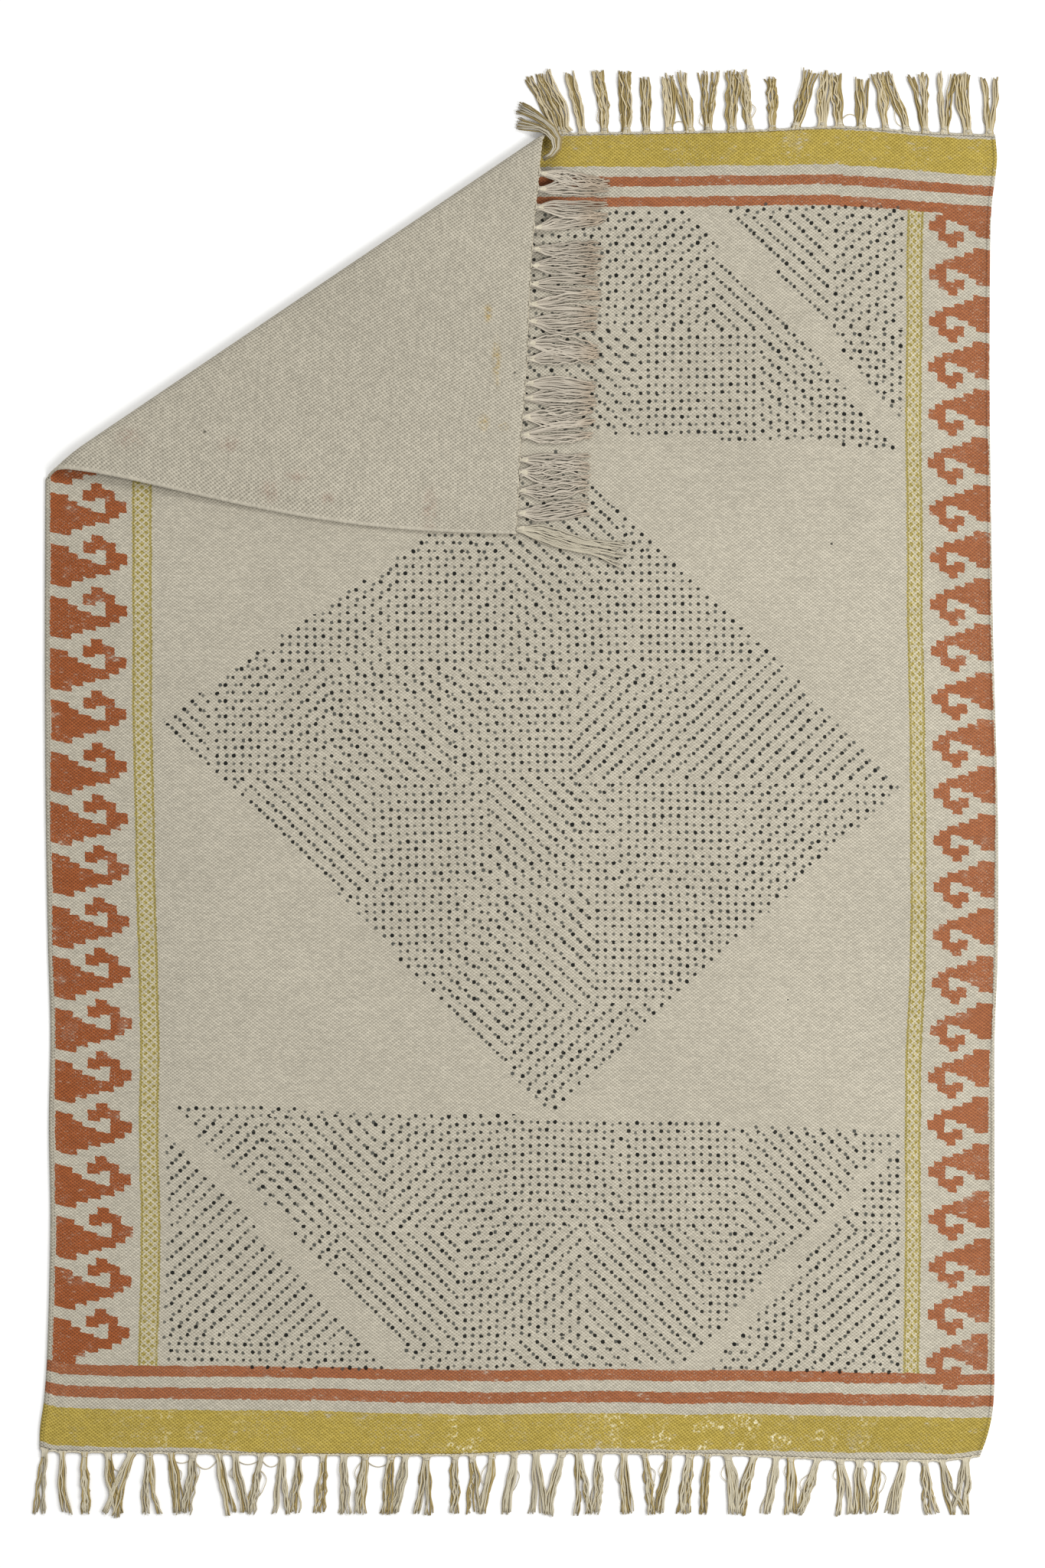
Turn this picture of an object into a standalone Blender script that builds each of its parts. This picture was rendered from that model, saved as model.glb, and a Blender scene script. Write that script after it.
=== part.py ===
"""A block-printed cotton dhurrie with knotted fringes, one corner turned over onto its face.

Metres, +Z up, +Y towards the end whose left corner is turned over.  The rug lies face up,
resting on z = 0, with the middle of its outer box over the origin.
"""

import math
import random
from collections import namedtuple

import bmesh
import bpy
from mathutils import Matrix, Vector

# The cloth as it was woven, a little wavy along its edges.
CLOTH_WIDTH = 1.200
CLOTH_LENGTH = 1.680
CLOTH_THICK = 0.003
GRID_STEP = 0.050

SideRow = namedtuple("SideRow", "along left right")
# Distance from the near end, then how far each side stands out from straight: millimetres.
SIDES = [
    SideRow(0, 10, -18),
    SideRow(25, 9, -9),
    SideRow(60, 4, -2),
    SideRow(120, 0, 0),
    SideRow(290, -4, 0),
    SideRow(410, -2, 0),
    SideRow(530, -4, 0),
    SideRow(640, -1, 4),
    SideRow(820, 2, 4),
    SideRow(1050, 3, -2),
    SideRow(1320, 2, -6),
    SideRow(1510, 2, -6),
    SideRow(1590, 2, -4),
    SideRow(1650, 2, 3),
    SideRow(1680, 2, 1),
]

EndRow = namedtuple("EndRow", "across near far")
# Distance from the left side, then how far each end stands out from straight: millimetres.
ENDS = [
    EndRow(0, -13, -5),
    EndRow(20, -8, -6),
    EndRow(140, -6, -10),
    EndRow(280, -4, -7),
    EndRow(520, -3, -5),
    EndRow(620, -6, -6),
    EndRow(680, -6, -6),
    EndRow(880, -3, -3),
    EndRow(1000, 2, 2),
    EndRow(1060, 4, -1),
    EndRow(1110, 4, -5),
    EndRow(1160, 3, -7),
    EndRow(1200, -2, -9),
]

# The turned corner.  The outside of its roll is a straight line in plan.
FOLD_ANGLE = math.radians(34.05)
FOLD_THROUGH = Vector((-0.557, 0.439))
ROLL_RADIUS = 0.0075
ROLL_STEPS = 8
FLAP_STRETCH = 1.155
FLAP_SHEAR = 0.5785
FLAP_DEPTH = 0.340
FLAP_GAP = 0.002
FLAP_SETTLES_IN = 0.160
FLAP_STEPS = (0.012, 0.030, 0.055, 0.085, 0.120)
SELVEDGE_BULGE = 0.0194
FRINGED_EDGE_SWAY = 0.0045
EDGE_FADE = 0.120
ROLL_END_PULL = 0.0107
ROLL_END_LENGTH = 0.062

# The fringes: the warp ends, knotted into tassels along a twisted heading cord.  The far end's
# fringe is two combs, one that lies on the floor and one that is turned over with the corner.
PIECE_GAP = 0.0004
HEADING_DEPTH = 0.006
TASSEL_LENGTH = 0.070
TASSEL_VARIES = 0.004
TASSEL_ROOT = 0.009
TASSEL_LEAN = math.radians(3.0)
TASSEL_REST = 0.0005
TASSEL_DROOPS_IN = 0.060
FLAP_TASSEL_LENGTH = 0.083
CORNER_TASSEL_LENGTH = 0.135
CORNER_TASSEL_TURN = math.radians(-14)
FOLD_TASSEL_TURN = math.radians(20)

StepRow = namedtuple("StepRow", "reach width")
TASSEL_STEPS = [
    StepRow(0.25, 0.8),
    StepRow(0.65, 1.25),
    StepRow(1.00, 1.05),
]

RunRow = namedtuple("RunRow", "first last count")
# Middles of the first and last tassel of each run, from the left side of the cloth.
NEAR_TASSELS = RunRow(0.007, 1.181, 44)
FAR_TASSELS = RunRow(0.659, 1.192, 21)
TURNED_TASSELS = RunRow(0.010, 0.556, 20)

ALONG_FOLD = Vector((math.cos(FOLD_ANGLE), math.sin(FOLD_ANGLE)))
ACROSS_FOLD = Vector((-math.sin(FOLD_ANGLE), math.cos(FOLD_ANGLE)))
ROLL_OUTSIDE = ROLL_RADIUS + CLOTH_THICK / 2
ROLL_LENGTH = math.pi * ROLL_RADIUS


def clear_scene():
    for item in list(bpy.data.objects):
        bpy.data.objects.remove(item, do_unlink=True)


def material(name, colour, roughness):
    made = bpy.data.materials.new(name)
    made.use_nodes = True
    shader = made.node_tree.nodes["Principled BSDF"]
    shader.inputs["Base Color"].default_value = (*colour, 1.0)
    shader.inputs["Roughness"].default_value = roughness
    shader.inputs["Metallic"].default_value = 0.0
    return made


def ease(x):
    x = min(max(x, 0.0), 1.0)
    return x * x * (3 - 2 * x)


def read_table(rows, column, at):
    """A smooth curve through one column of a table, read at a place given in metres."""
    at = min(max(at * 1000, rows[0][0]), rows[-1][0])
    index = max(i for i, row in enumerate(rows[:-1]) if row[0] <= at)
    low, high = rows[index], rows[index + 1]
    before = rows[max(index - 1, 0)]
    after = rows[min(index + 2, len(rows) - 1)]
    span = high[0] - low[0]
    slope_low = (getattr(high, column) - getattr(before, column)) / (high[0] - before[0])
    slope_high = (getattr(after, column) - getattr(low, column)) / (after[0] - low[0])
    f = (at - low[0]) / span
    value = (
        (1 + 2 * f) * (1 - f) ** 2 * getattr(low, column)
        + f * (1 - f) ** 2 * span * slope_low
        + f * f * (3 - 2 * f) * getattr(high, column)
        - f * f * (1 - f) * span * slope_high
    )
    return value / 1000


def lay_flat(across, along):
    """A place on the woven rectangle, or just past its ends, as it lies before the fold."""
    left = -CLOTH_WIDTH / 2 - read_table(SIDES, "left", along)
    right = CLOTH_WIDTH / 2 + read_table(SIDES, "right", along)
    near = -CLOTH_LENGTH / 2 - read_table(ENDS, "near", across)
    far = CLOTH_LENGTH / 2 + read_table(ENDS, "far", across)
    x = left + (right - left) * across / CLOTH_WIDTH
    if along < 0:
        return Vector((x, near + along))
    if along > CLOTH_LENGTH:
        return Vector((x, far + along - CLOTH_LENGTH))
    return Vector((x, near + (far - near) * along / CLOTH_LENGTH))


def past_roll_start(point):
    """Distance of a flat place beyond the line where the cloth leaves the ground."""
    return (point - FOLD_THROUGH).dot(ACROSS_FOLD) + ROLL_OUTSIDE


def fold(point):
    """Carry a flat place on the cloth's middle surface over the roll and onto the face."""
    resting = CLOTH_THICK / 2
    past = past_roll_start(point)
    if past <= 0:
        return Vector((point.x, point.y, resting))
    along = (point - FOLD_THROUGH).dot(ALONG_FOLD)
    pull = ROLL_END_PULL * min(-min(along, 0.0) / ROLL_END_LENGTH, 1.5) ** 2
    along += FLAP_SHEAR * past
    if past < ROLL_LENGTH:
        turn = past / ROLL_RADIUS
        across = -ROLL_OUTSIDE + ROLL_RADIUS * math.sin(turn)
        height = resting + ROLL_RADIUS * (1 - math.cos(turn))
        pull *= math.sin(turn / 2)
        moved = FOLD_THROUGH + ALONG_FOLD * along + ACROSS_FOLD * (across - pull)
        return Vector((moved.x, moved.y, height))
    depth = past - ROLL_LENGTH
    top = resting + 2 * ROLL_RADIUS
    settled = CLOTH_THICK + FLAP_GAP + resting
    height = top + (settled - top) * ease(depth / FLAP_SETTLES_IN)
    across = -ROLL_OUTSIDE - FLAP_STRETCH * depth
    pull *= 1 - ease(depth / EDGE_FADE)
    moved = FOLD_THROUGH + ALONG_FOLD * along + ACROSS_FOLD * (across - pull)
    share = min(depth / FLAP_DEPTH, 1.0)
    from_selvedge = max(point.x + CLOTH_WIDTH / 2, 0.0)
    from_end = max(CLOTH_LENGTH / 2 - point.y, 0.0)
    moved.y -= SELVEDGE_BULGE * math.sin(math.pi * share**1.25) * math.exp(-from_selvedge / EDGE_FADE)
    moved.x -= FRINGED_EDGE_SWAY * math.sin(2 * math.pi * share) * math.exp(-from_end / EDGE_FADE)
    return Vector((moved.x, moved.y, height))


def cut_along_fold(mesh, distances):
    """Cut a flat mesh along lines parallel to the fold, so that it bends only at those lines."""
    for distance in distances:
        through = FOLD_THROUGH + ACROSS_FOLD * (distance - ROLL_OUTSIDE)
        bmesh.ops.bisect_plane(
            mesh,
            geom=mesh.verts[:] + mesh.edges[:] + mesh.faces[:],
            dist=1e-6,
            plane_co=(through.x, through.y, 0.0),
            plane_no=(ACROSS_FOLD.x, ACROSS_FOLD.y, 0.0),
        )


def roll_lines():
    return [ROLL_LENGTH * step / ROLL_STEPS for step in range(ROLL_STEPS + 1)]


def sheet_object(name, mesh, finish, thick=CLOTH_THICK):
    """Finish an open middle surface as one closed sheet."""
    bmesh.ops.triangulate(mesh, faces=mesh.faces[:])
    bmesh.ops.recalc_face_normals(mesh, faces=mesh.faces[:])
    lowest = min(mesh.faces, key=lambda face: face.calc_center_median().z)
    if lowest.normal.z < 0:
        bmesh.ops.reverse_faces(mesh, faces=mesh.faces[:])
    data = bpy.data.meshes.new(name)
    mesh.to_mesh(data)
    mesh.free()
    data.materials.append(finish)
    data.shade_smooth()
    item = bpy.data.objects.new(name, data)
    shell = item.modifiers.new("cloth thickness", "SOLIDIFY")
    shell.thickness = thick
    shell.offset = 0.0
    shell.use_even_offset = True
    return item


def build_cloth(finish):
    mesh = bmesh.new()
    bmesh.ops.create_grid(
        mesh,
        x_segments=round(CLOTH_WIDTH / GRID_STEP),
        y_segments=round(CLOTH_LENGTH / GRID_STEP),
        size=0.5,
    )
    for vert in mesh.verts:
        across = (vert.co.x + 0.5) * CLOTH_WIDTH
        along = (vert.co.y + 0.5) * CLOTH_LENGTH
        vert.co = lay_flat(across, along).to_3d()
    cut_along_fold(mesh, roll_lines() + [ROLL_LENGTH + step for step in FLAP_STEPS])
    for vert in mesh.verts:
        vert.co = fold(vert.co.to_2d())
    return sheet_object("rug", mesh, finish)


def heading_cuts(run):
    """Where a heading is cut across, so that each tassel has its own stretch of it."""
    pitch = (run.last - run.first) / (run.count - 1)
    cuts = []
    for index in range(run.count):
        middle = run.first + pitch * index
        cuts += [middle - TASSEL_ROOT / 2, middle + TASSEL_ROOT / 2]
    return cuts


def grow_tassel(mesh, root, outward, length, ground):
    """Draw one tassel out of its stretch of the heading and lay it down."""
    middle = (root.verts[0].co + root.verts[1].co) / 2
    sideways = Vector((-outward.y, outward.x))
    resting = ground + CLOTH_THICK / 2
    edge = root
    for step in TASSEL_STEPS:
        grown = bmesh.ops.extrude_edge_only(mesh, edges=[edge])["geom"]
        ends = [item for item in grown if isinstance(item, bmesh.types.BMVert)]
        reach = length * step.reach
        droop = ease(reach / TASSEL_DROOPS_IN)
        for vert in ends:
            hand = 1 if (vert.co - middle).to_2d().dot(sideways) > 0 else -1
            place = middle.to_2d() + outward * reach + sideways * (hand * TASSEL_ROOT * step.width / 2)
            vert.co = Vector((place.x, place.y, middle.z + (resting - middle.z) * droop))
        edge = next(
            item
            for item in grown
            if isinstance(item, bmesh.types.BMEdge) and all(vert in ends for vert in item.verts)
        )


def heading_strip(cuts, far_end):
    """The flat heading along one end of the cloth, and the edges that tassels grow from."""
    mesh = bmesh.new()
    bmesh.ops.create_grid(mesh, x_segments=len(cuts) - 1, y_segments=1, size=0.5)
    outer = [edge for edge in mesh.edges if all(vert.co.y > 0 for vert in edge.verts)]
    outer.sort(key=lambda edge: edge.verts[0].co.x + edge.verts[1].co.x)
    for vert in mesh.verts:
        across = cuts[round((vert.co.x + 0.5) * (len(cuts) - 1))]
        depth = PIECE_GAP + (HEADING_DEPTH if vert.co.y > 0 else 0.0)
        along = CLOTH_LENGTH + depth if far_end else -depth
        vert.co = lay_flat(across, along).to_3d()
    return mesh, outer[0::2]


# How one tassel lies, for each comb: its turn from +X, its length, and the height it lies on.
def near_lie(_number, chance):
    turn = -math.pi / 2 + chance.uniform(-TASSEL_LEAN, TASSEL_LEAN)
    return turn, TASSEL_LENGTH + chance.uniform(-TASSEL_VARIES, TASSEL_VARIES), 0.0


def far_lie(number, chance):
    turn = math.pi / 2 + chance.uniform(-TASSEL_LEAN, TASSEL_LEAN)
    if number == 0:
        turn += FOLD_TASSEL_TURN
    return turn, TASSEL_LENGTH + chance.uniform(-TASSEL_VARIES, TASSEL_VARIES), 0.0


def turned_lie(number, chance):
    turn = chance.uniform(-TASSEL_LEAN, TASSEL_LEAN)
    length = chance.uniform(-TASSEL_VARIES, TASSEL_VARIES)
    if number == 0:
        turn += CORNER_TASSEL_TURN
        length += CORNER_TASSEL_LENGTH
    else:
        length += FLAP_TASSEL_LENGTH
    return turn, length, CLOTH_THICK + TASSEL_REST


def build_fringe(name, cuts, lie, finish, seed):
    """One comb: a heading along the end of the cloth, folded with it, and its tassels."""
    chance = random.Random(seed)
    mesh, roots = heading_strip(cuts, far_end=lie is not near_lie)
    cut_along_fold(mesh, roll_lines())
    for vert in mesh.verts:
        vert.co = fold(vert.co.to_2d())
    for number, root in enumerate(roots):
        turn, length, ground = lie(number, chance)
        grow_tassel(mesh, root, Vector((math.cos(turn), math.sin(turn))), length, ground)
    return sheet_object(name, mesh, finish)


def centre_over_origin(items):
    """Slide the whole rug until the middle of its outer box is over the origin."""
    depsgraph = bpy.context.evaluated_depsgraph_get()
    low = Vector((math.inf,) * 3)
    high = Vector((-math.inf,) * 3)
    for item in items:
        final = item.evaluated_get(depsgraph).data
        for vert in final.vertices:
            low = Vector(map(min, low, vert.co))
            high = Vector(map(max, high, vert.co))
    middle = (low + high) / 2
    slide = Matrix.Translation((-middle.x, -middle.y, -low.z))
    for item in items:
        item.data.transform(slide)


def main():
    clear_scene()
    cotton = material("printed cotton", (0.58, 0.53, 0.41), 0.95)
    yarn = material("fringe yarn", (0.62, 0.55, 0.36), 0.95)
    near_cuts = heading_cuts(NEAR_TASSELS)
    far_cuts = heading_cuts(FAR_TASSELS)
    turned_cuts = heading_cuts(TURNED_TASSELS) + [far_cuts[0] - PIECE_GAP]
    items = [
        build_cloth(cotton),
        build_fringe("fringe_near", near_cuts, near_lie, yarn, seed=3),
        build_fringe("fringe_far", far_cuts, far_lie, yarn, seed=5),
        build_fringe("fringe_turned", turned_cuts, turned_lie, yarn, seed=7),
    ]
    rug = bpy.data.collections.new("dhurrie rug")
    bpy.context.scene.collection.children.link(rug)
    for item in items:
        rug.objects.link(item)
    bpy.context.view_layer.update()
    centre_over_origin(items)


main()
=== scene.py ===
"""The looks of a block-printed cotton dhurrie with knotted fringes, one corner turned over.

The printed cloth is a fine closed sheet folded the same way as its plain solid, its inks and weave
worked out over the cloth itself.  The fringes are yarns: a twisted heading, knots and tassels.
"""

import math
import random
from collections import namedtuple

import bmesh
import bpy
from mathutils import Matrix, Vector, noise


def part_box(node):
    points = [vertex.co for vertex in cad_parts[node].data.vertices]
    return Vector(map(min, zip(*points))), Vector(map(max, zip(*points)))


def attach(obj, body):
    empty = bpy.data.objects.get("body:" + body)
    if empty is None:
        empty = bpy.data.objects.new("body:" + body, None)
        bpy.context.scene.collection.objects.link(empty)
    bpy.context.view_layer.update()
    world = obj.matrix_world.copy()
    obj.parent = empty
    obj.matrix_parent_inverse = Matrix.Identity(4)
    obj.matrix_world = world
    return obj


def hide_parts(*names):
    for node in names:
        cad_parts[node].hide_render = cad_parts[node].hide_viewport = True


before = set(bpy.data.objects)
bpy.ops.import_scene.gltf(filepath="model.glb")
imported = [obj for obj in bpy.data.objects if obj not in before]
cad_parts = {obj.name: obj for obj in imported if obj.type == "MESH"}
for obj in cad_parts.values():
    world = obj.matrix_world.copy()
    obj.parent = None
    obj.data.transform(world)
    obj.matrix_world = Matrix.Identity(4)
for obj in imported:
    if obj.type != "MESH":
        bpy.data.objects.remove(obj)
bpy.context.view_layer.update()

# ---------------------------------------------------------------- sizes, metres
CLOTH_WIDTH = 1.200
CLOTH_LENGTH = 1.680
CLOTH_THICK = 0.003

SideRow = namedtuple("SideRow", "along left right")
# Distance from the near end, then how far each side stands out from straight: millimetres.
SIDES = [
    SideRow(0, 10, -18),
    SideRow(25, 9, -9),
    SideRow(60, 4, -2),
    SideRow(120, 0, 0),
    SideRow(290, -4, 0),
    SideRow(410, -2, 0),
    SideRow(530, -4, 0),
    SideRow(640, -1, 4),
    SideRow(820, 2, 4),
    SideRow(1050, 3, -2),
    SideRow(1320, 2, -6),
    SideRow(1510, 2, -6),
    SideRow(1590, 2, -4),
    SideRow(1650, 2, 3),
    SideRow(1680, 2, 1),
]

EndRow = namedtuple("EndRow", "across near far")
# Distance from the left side, then how far each end stands out from straight: millimetres.
ENDS = [
    EndRow(0, -13, -5),
    EndRow(20, -8, -6),
    EndRow(140, -6, -10),
    EndRow(280, -4, -7),
    EndRow(520, -3, -5),
    EndRow(620, -6, -6),
    EndRow(680, -6, -6),
    EndRow(880, -3, -3),
    EndRow(1000, 2, 2),
    EndRow(1060, 4, -1),
    EndRow(1110, 4, -5),
    EndRow(1160, 3, -7),
    EndRow(1200, -2, -9),
]

# The turned corner, as the plain solid is folded.
FOLD_ANGLE = math.radians(34.05)
FOLD_THROUGH = Vector((-0.557, 0.439))
ROLL_RADIUS = 0.0075
FLAP_STRETCH = 1.155
FLAP_SHEAR = 0.5785
FLAP_DEPTH = 0.340
FLAP_GAP = 0.002
FLAP_SETTLES_IN = 0.160
SELVEDGE_BULGE = 0.0194
FRINGED_EDGE_SWAY = 0.0045
EDGE_FADE = 0.120
ROLL_END_PULL = 0.0107
ROLL_END_LENGTH = 0.062
ALONG_FOLD = Vector((math.cos(FOLD_ANGLE), math.sin(FOLD_ANGLE)))
ACROSS_FOLD = Vector((-math.sin(FOLD_ANGLE), math.cos(FOLD_ANGLE)))
ROLL_OUTSIDE = ROLL_RADIUS + CLOTH_THICK / 2
ROLL_LENGTH = math.pi * ROLL_RADIUS

# The visible cloth.
MESH_STEP = 0.010
EDGE_LINES = (0.0, 0.0022, 0.0045, 0.0068)
SELVEDGE_RAISE = (0.0, 0.0006, 0.0005, -0.0003)
ROLL_LINES = 14
RIPPLE = 0.0010
SLOW_RIPPLES = 4.0
QUICK_RIPPLES = 11.0
PROBE = 0.0005
EDGE_PINCH = 0.45

# The bake map: how much of it the face and the back get, and where each part starts.
FACE_SHARE = 0.98
BACK_SHARE = 0.25
MAP_MARGIN = 0.01
BACK_AT = 0.73
SIDES_AT = (0.74, 0.40)
SIDES_APART = 0.03
SIDE_SCALE = 0.19


def put_in_scene(name, data):
    item = bpy.data.objects.new(name, data)
    bpy.context.scene.collection.objects.link(item)
    return item


# ---------------------------------------------------------------- the cloth's shape
def ease(x):
    x = min(max(x, 0.0), 1.0)
    return x * x * (3 - 2 * x)


def read_table(rows, column, at):
    """A smooth curve through one column of a table, read at a place given in metres."""
    at = min(max(at * 1000, rows[0][0]), rows[-1][0])
    index = max(i for i, row in enumerate(rows[:-1]) if row[0] <= at)
    low, high = rows[index], rows[index + 1]
    before = rows[max(index - 1, 0)]
    after = rows[min(index + 2, len(rows) - 1)]
    span = high[0] - low[0]
    slope_low = (getattr(high, column) - getattr(before, column)) / (high[0] - before[0])
    slope_high = (getattr(after, column) - getattr(low, column)) / (after[0] - low[0])
    f = (at - low[0]) / span
    value = (
        (1 + 2 * f) * (1 - f) ** 2 * getattr(low, column)
        + f * (1 - f) ** 2 * span * slope_low
        + f * f * (3 - 2 * f) * getattr(high, column)
        - f * f * (1 - f) * span * slope_high
    )
    return value / 1000


def lay_flat(across, along):
    """A place on the woven rectangle, or just past its ends, as it lies before the fold."""
    left = -CLOTH_WIDTH / 2 - read_table(SIDES, "left", along)
    right = CLOTH_WIDTH / 2 + read_table(SIDES, "right", along)
    near = -CLOTH_LENGTH / 2 - read_table(ENDS, "near", across)
    far = CLOTH_LENGTH / 2 + read_table(ENDS, "far", across)
    x = left + (right - left) * across / CLOTH_WIDTH
    if along < 0:
        return Vector((x, near + along))
    if along > CLOTH_LENGTH:
        return Vector((x, far + along - CLOTH_LENGTH))
    return Vector((x, near + (far - near) * along / CLOTH_LENGTH))


def past_roll_start(point):
    return (point - FOLD_THROUGH).dot(ACROSS_FOLD) + ROLL_OUTSIDE


def fold(point):
    """Carry a flat place on the cloth's middle surface over the roll and onto the face."""
    resting = CLOTH_THICK / 2
    past = past_roll_start(point)
    if past <= 0:
        return Vector((point.x, point.y, resting))
    along = (point - FOLD_THROUGH).dot(ALONG_FOLD)
    pull = ROLL_END_PULL * min(-min(along, 0.0) / ROLL_END_LENGTH, 1.5) ** 2
    along += FLAP_SHEAR * past
    if past < ROLL_LENGTH:
        turn = past / ROLL_RADIUS
        across = -ROLL_OUTSIDE + ROLL_RADIUS * math.sin(turn)
        height = resting + ROLL_RADIUS * (1 - math.cos(turn))
        pull *= math.sin(turn / 2)
        moved = FOLD_THROUGH + ALONG_FOLD * along + ACROSS_FOLD * (across - pull)
        return Vector((moved.x, moved.y, height))
    depth = past - ROLL_LENGTH
    top = resting + 2 * ROLL_RADIUS
    settled = CLOTH_THICK + FLAP_GAP + resting
    height = top + (settled - top) * ease(depth / FLAP_SETTLES_IN)
    across = -ROLL_OUTSIDE - FLAP_STRETCH * depth
    pull *= 1 - ease(depth / EDGE_FADE)
    moved = FOLD_THROUGH + ALONG_FOLD * along + ACROSS_FOLD * (across - pull)
    share = min(depth / FLAP_DEPTH, 1.0)
    from_selvedge = max(point.x + CLOTH_WIDTH / 2, 0.0)
    from_end = max(CLOTH_LENGTH / 2 - point.y, 0.0)
    moved.y -= SELVEDGE_BULGE * math.sin(math.pi * share**1.25) * math.exp(-from_selvedge / EDGE_FADE)
    moved.x -= FRINGED_EDGE_SWAY * math.sin(2 * math.pi * share) * math.exp(-from_end / EDGE_FADE)
    return Vector((moved.x, moved.y, height))


def ripple(point):
    """The slight unevenness of a cloth that lies on a floor; it only ever lifts."""
    slow = noise.noise(Vector((point.x * SLOW_RIPPLES, point.y * SLOW_RIPPLES, 0.3)))
    quick = noise.noise(Vector((point.x * QUICK_RIPPLES, point.y * QUICK_RIPPLES, 7.1)))
    return RIPPLE * max(0.0, 0.6 + slow + 0.4 * quick)


def on_cloth(point, height):
    """A flat place, and a height above the cloth's middle surface, carried over the fold."""
    here = fold(point)
    east = fold(point + Vector((PROBE, 0))) - here
    north = fold(point + Vector((0, PROBE))) - here
    up = east.cross(north).normalized()
    return here + up * height + Vector((0, 0, ripple(here)))


def cut_along_fold(mesh, distances):
    for distance in distances:
        through = FOLD_THROUGH + ACROSS_FOLD * (distance - ROLL_OUTSIDE)
        bmesh.ops.bisect_plane(
            mesh,
            geom=mesh.verts[:] + mesh.edges[:] + mesh.faces[:],
            dist=1e-6,
            plane_co=(through.x, through.y, 0.0),
            plane_no=(ACROSS_FOLD.x, ACROSS_FOLD.y, 0.0),
        )


def grid_lines(length):
    """Lines across the cloth, close together at its two edges and even between them."""
    inner = round((length - 2 * EDGE_LINES[-1]) / MESH_STEP)
    step = (length - 2 * EDGE_LINES[-1]) / inner
    lines = list(EDGE_LINES)
    lines += [EDGE_LINES[-1] + step * index for index in range(1, inner)]
    lines += [length - line for line in reversed(EDGE_LINES)]
    return lines


def raised(across):
    """How much thicker one side of the cloth is near its selvedges."""
    inwards = min(across, CLOTH_WIDTH - across)
    if inwards >= EDGE_LINES[-1] + MESH_STEP:
        return 0.0
    nearest = min(range(len(EDGE_LINES)), key=lambda i: abs(EDGE_LINES[i] - inwards))
    return SELVEDGE_RAISE[nearest] if abs(EDGE_LINES[nearest] - inwards) < 0.001 else 0.0


def build_cloth():
    """A grid woven flat, given its thickness by extruding, then folded point by point."""
    columns = grid_lines(CLOTH_WIDTH)
    rows = grid_lines(CLOTH_LENGTH)
    mesh = bmesh.new()
    bmesh.ops.create_grid(mesh, x_segments=len(columns) - 1, y_segments=len(rows) - 1, size=0.5)
    place = mesh.loops.layers.uv.new("cloth")
    for vert in mesh.verts:
        across = columns[round((vert.co.x + 0.5) * (len(columns) - 1))]
        along = rows[round((vert.co.y + 0.5) * (len(rows) - 1))]
        vert.co = lay_flat(across, along).to_3d()
        for loop in vert.link_loops:
            loop[place].uv = (across, along)
    cut_along_fold(mesh, [ROLL_LENGTH * step / ROLL_LINES for step in range(ROLL_LINES + 1)])
    back = mesh.faces[:]
    grown = bmesh.ops.extrude_face_region(mesh, geom=back, use_keep_orig=True)["geom"]
    face = [item for item in grown if isinstance(item, bmesh.types.BMFace)]
    for vert in [item for item in grown if isinstance(item, bmesh.types.BMVert)]:
        vert.co.z = 1.0
    face, back = set(face), set(back)
    for polygon in mesh.faces:
        polygon.smooth = True
        polygon.material_index = 0 if polygon in face else 1
    bake = mesh.loops.layers.uv.new("OFBake")
    lay_out_bake(mesh, face, back, place, bake)
    shape_edges(mesh, place)
    bmesh.ops.recalc_face_normals(mesh, faces=mesh.faces[:])
    data = bpy.data.meshes.new("printed_cloth")
    mesh.to_mesh(data)
    mesh.free()
    return put_in_scene("printed_cloth", data)


def lay_out_bake(mesh, face, back, place, bake):
    """The printed face fills most of the map; the plain back and the thin sides share the rest."""
    face_scale = FACE_SHARE / CLOTH_LENGTH
    back_scale = BACK_SHARE / CLOTH_WIDTH
    for polygon in mesh.faces:
        for loop in polygon.loops:
            across, along = loop[place].uv
            if polygon in face:
                loop[bake].uv = (MAP_MARGIN + across * face_scale, MAP_MARGIN + along * face_scale)
            elif polygon in back:
                loop[bake].uv = (BACK_AT + across * back_scale, MAP_MARGIN + along * back_scale)
            else:
                lift = loop.vert.co.z * 0.02
                side = 2 * (across > CLOTH_WIDTH - 1e-4)
                side += 4 * (along < 1e-4) + 6 * (along > CLOTH_LENGTH - 1e-4)
                u = SIDES_AT[0] + side * SIDES_APART + lift
                loop[bake].uv = (u, SIDES_AT[1] + (across + along) * SIDE_SCALE)


def shape_edges(mesh, place):
    """Round the four edges, thicken the selvedges and fold every point into place."""
    for vert in mesh.verts:
        across, along = vert.link_loops[0][place].uv
        inwards = min(across, CLOTH_WIDTH - across, along, CLOTH_LENGTH - along)
        half = CLOTH_THICK / 2 + raised(across)
        if inwards < 1e-4:
            half *= EDGE_PINCH
        lift = half if vert.co.z > 0.5 else -min(half, CLOTH_THICK / 2)
        vert.co = on_cloth(vert.co.to_2d(), lift)


# ---------------------------------------------------------------- the fringes
RunRow = namedtuple("RunRow", "first last count")
# Where tassels stand along an end of the cloth, across from its left selvedge: metres.
NEAR_TASSELS = RunRow(0.007, 1.181, 44)
FAR_TASSELS = RunRow(0.653, 1.192, 21)
TURNED_TASSELS = RunRow(0.010, 0.556, 20)
HEADINGS_MEET = 0.646
HEADING_OUT = 0.0010
HEADING_PLY = 0.0011
HEADING_WIND = 0.0006
HEADING_PITCH = 0.0100
HEADING_STEP = 0.0013
SCALLOP = 0.0026
SCALLOP_REACH = 0.0095
NECK_YARNS = 6
NECK_LENGTH = 0.0100
NECK_GATHERS = 0.0052
LOOSE_FROM = 0.006
LOOSE_IN = 0.022

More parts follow.
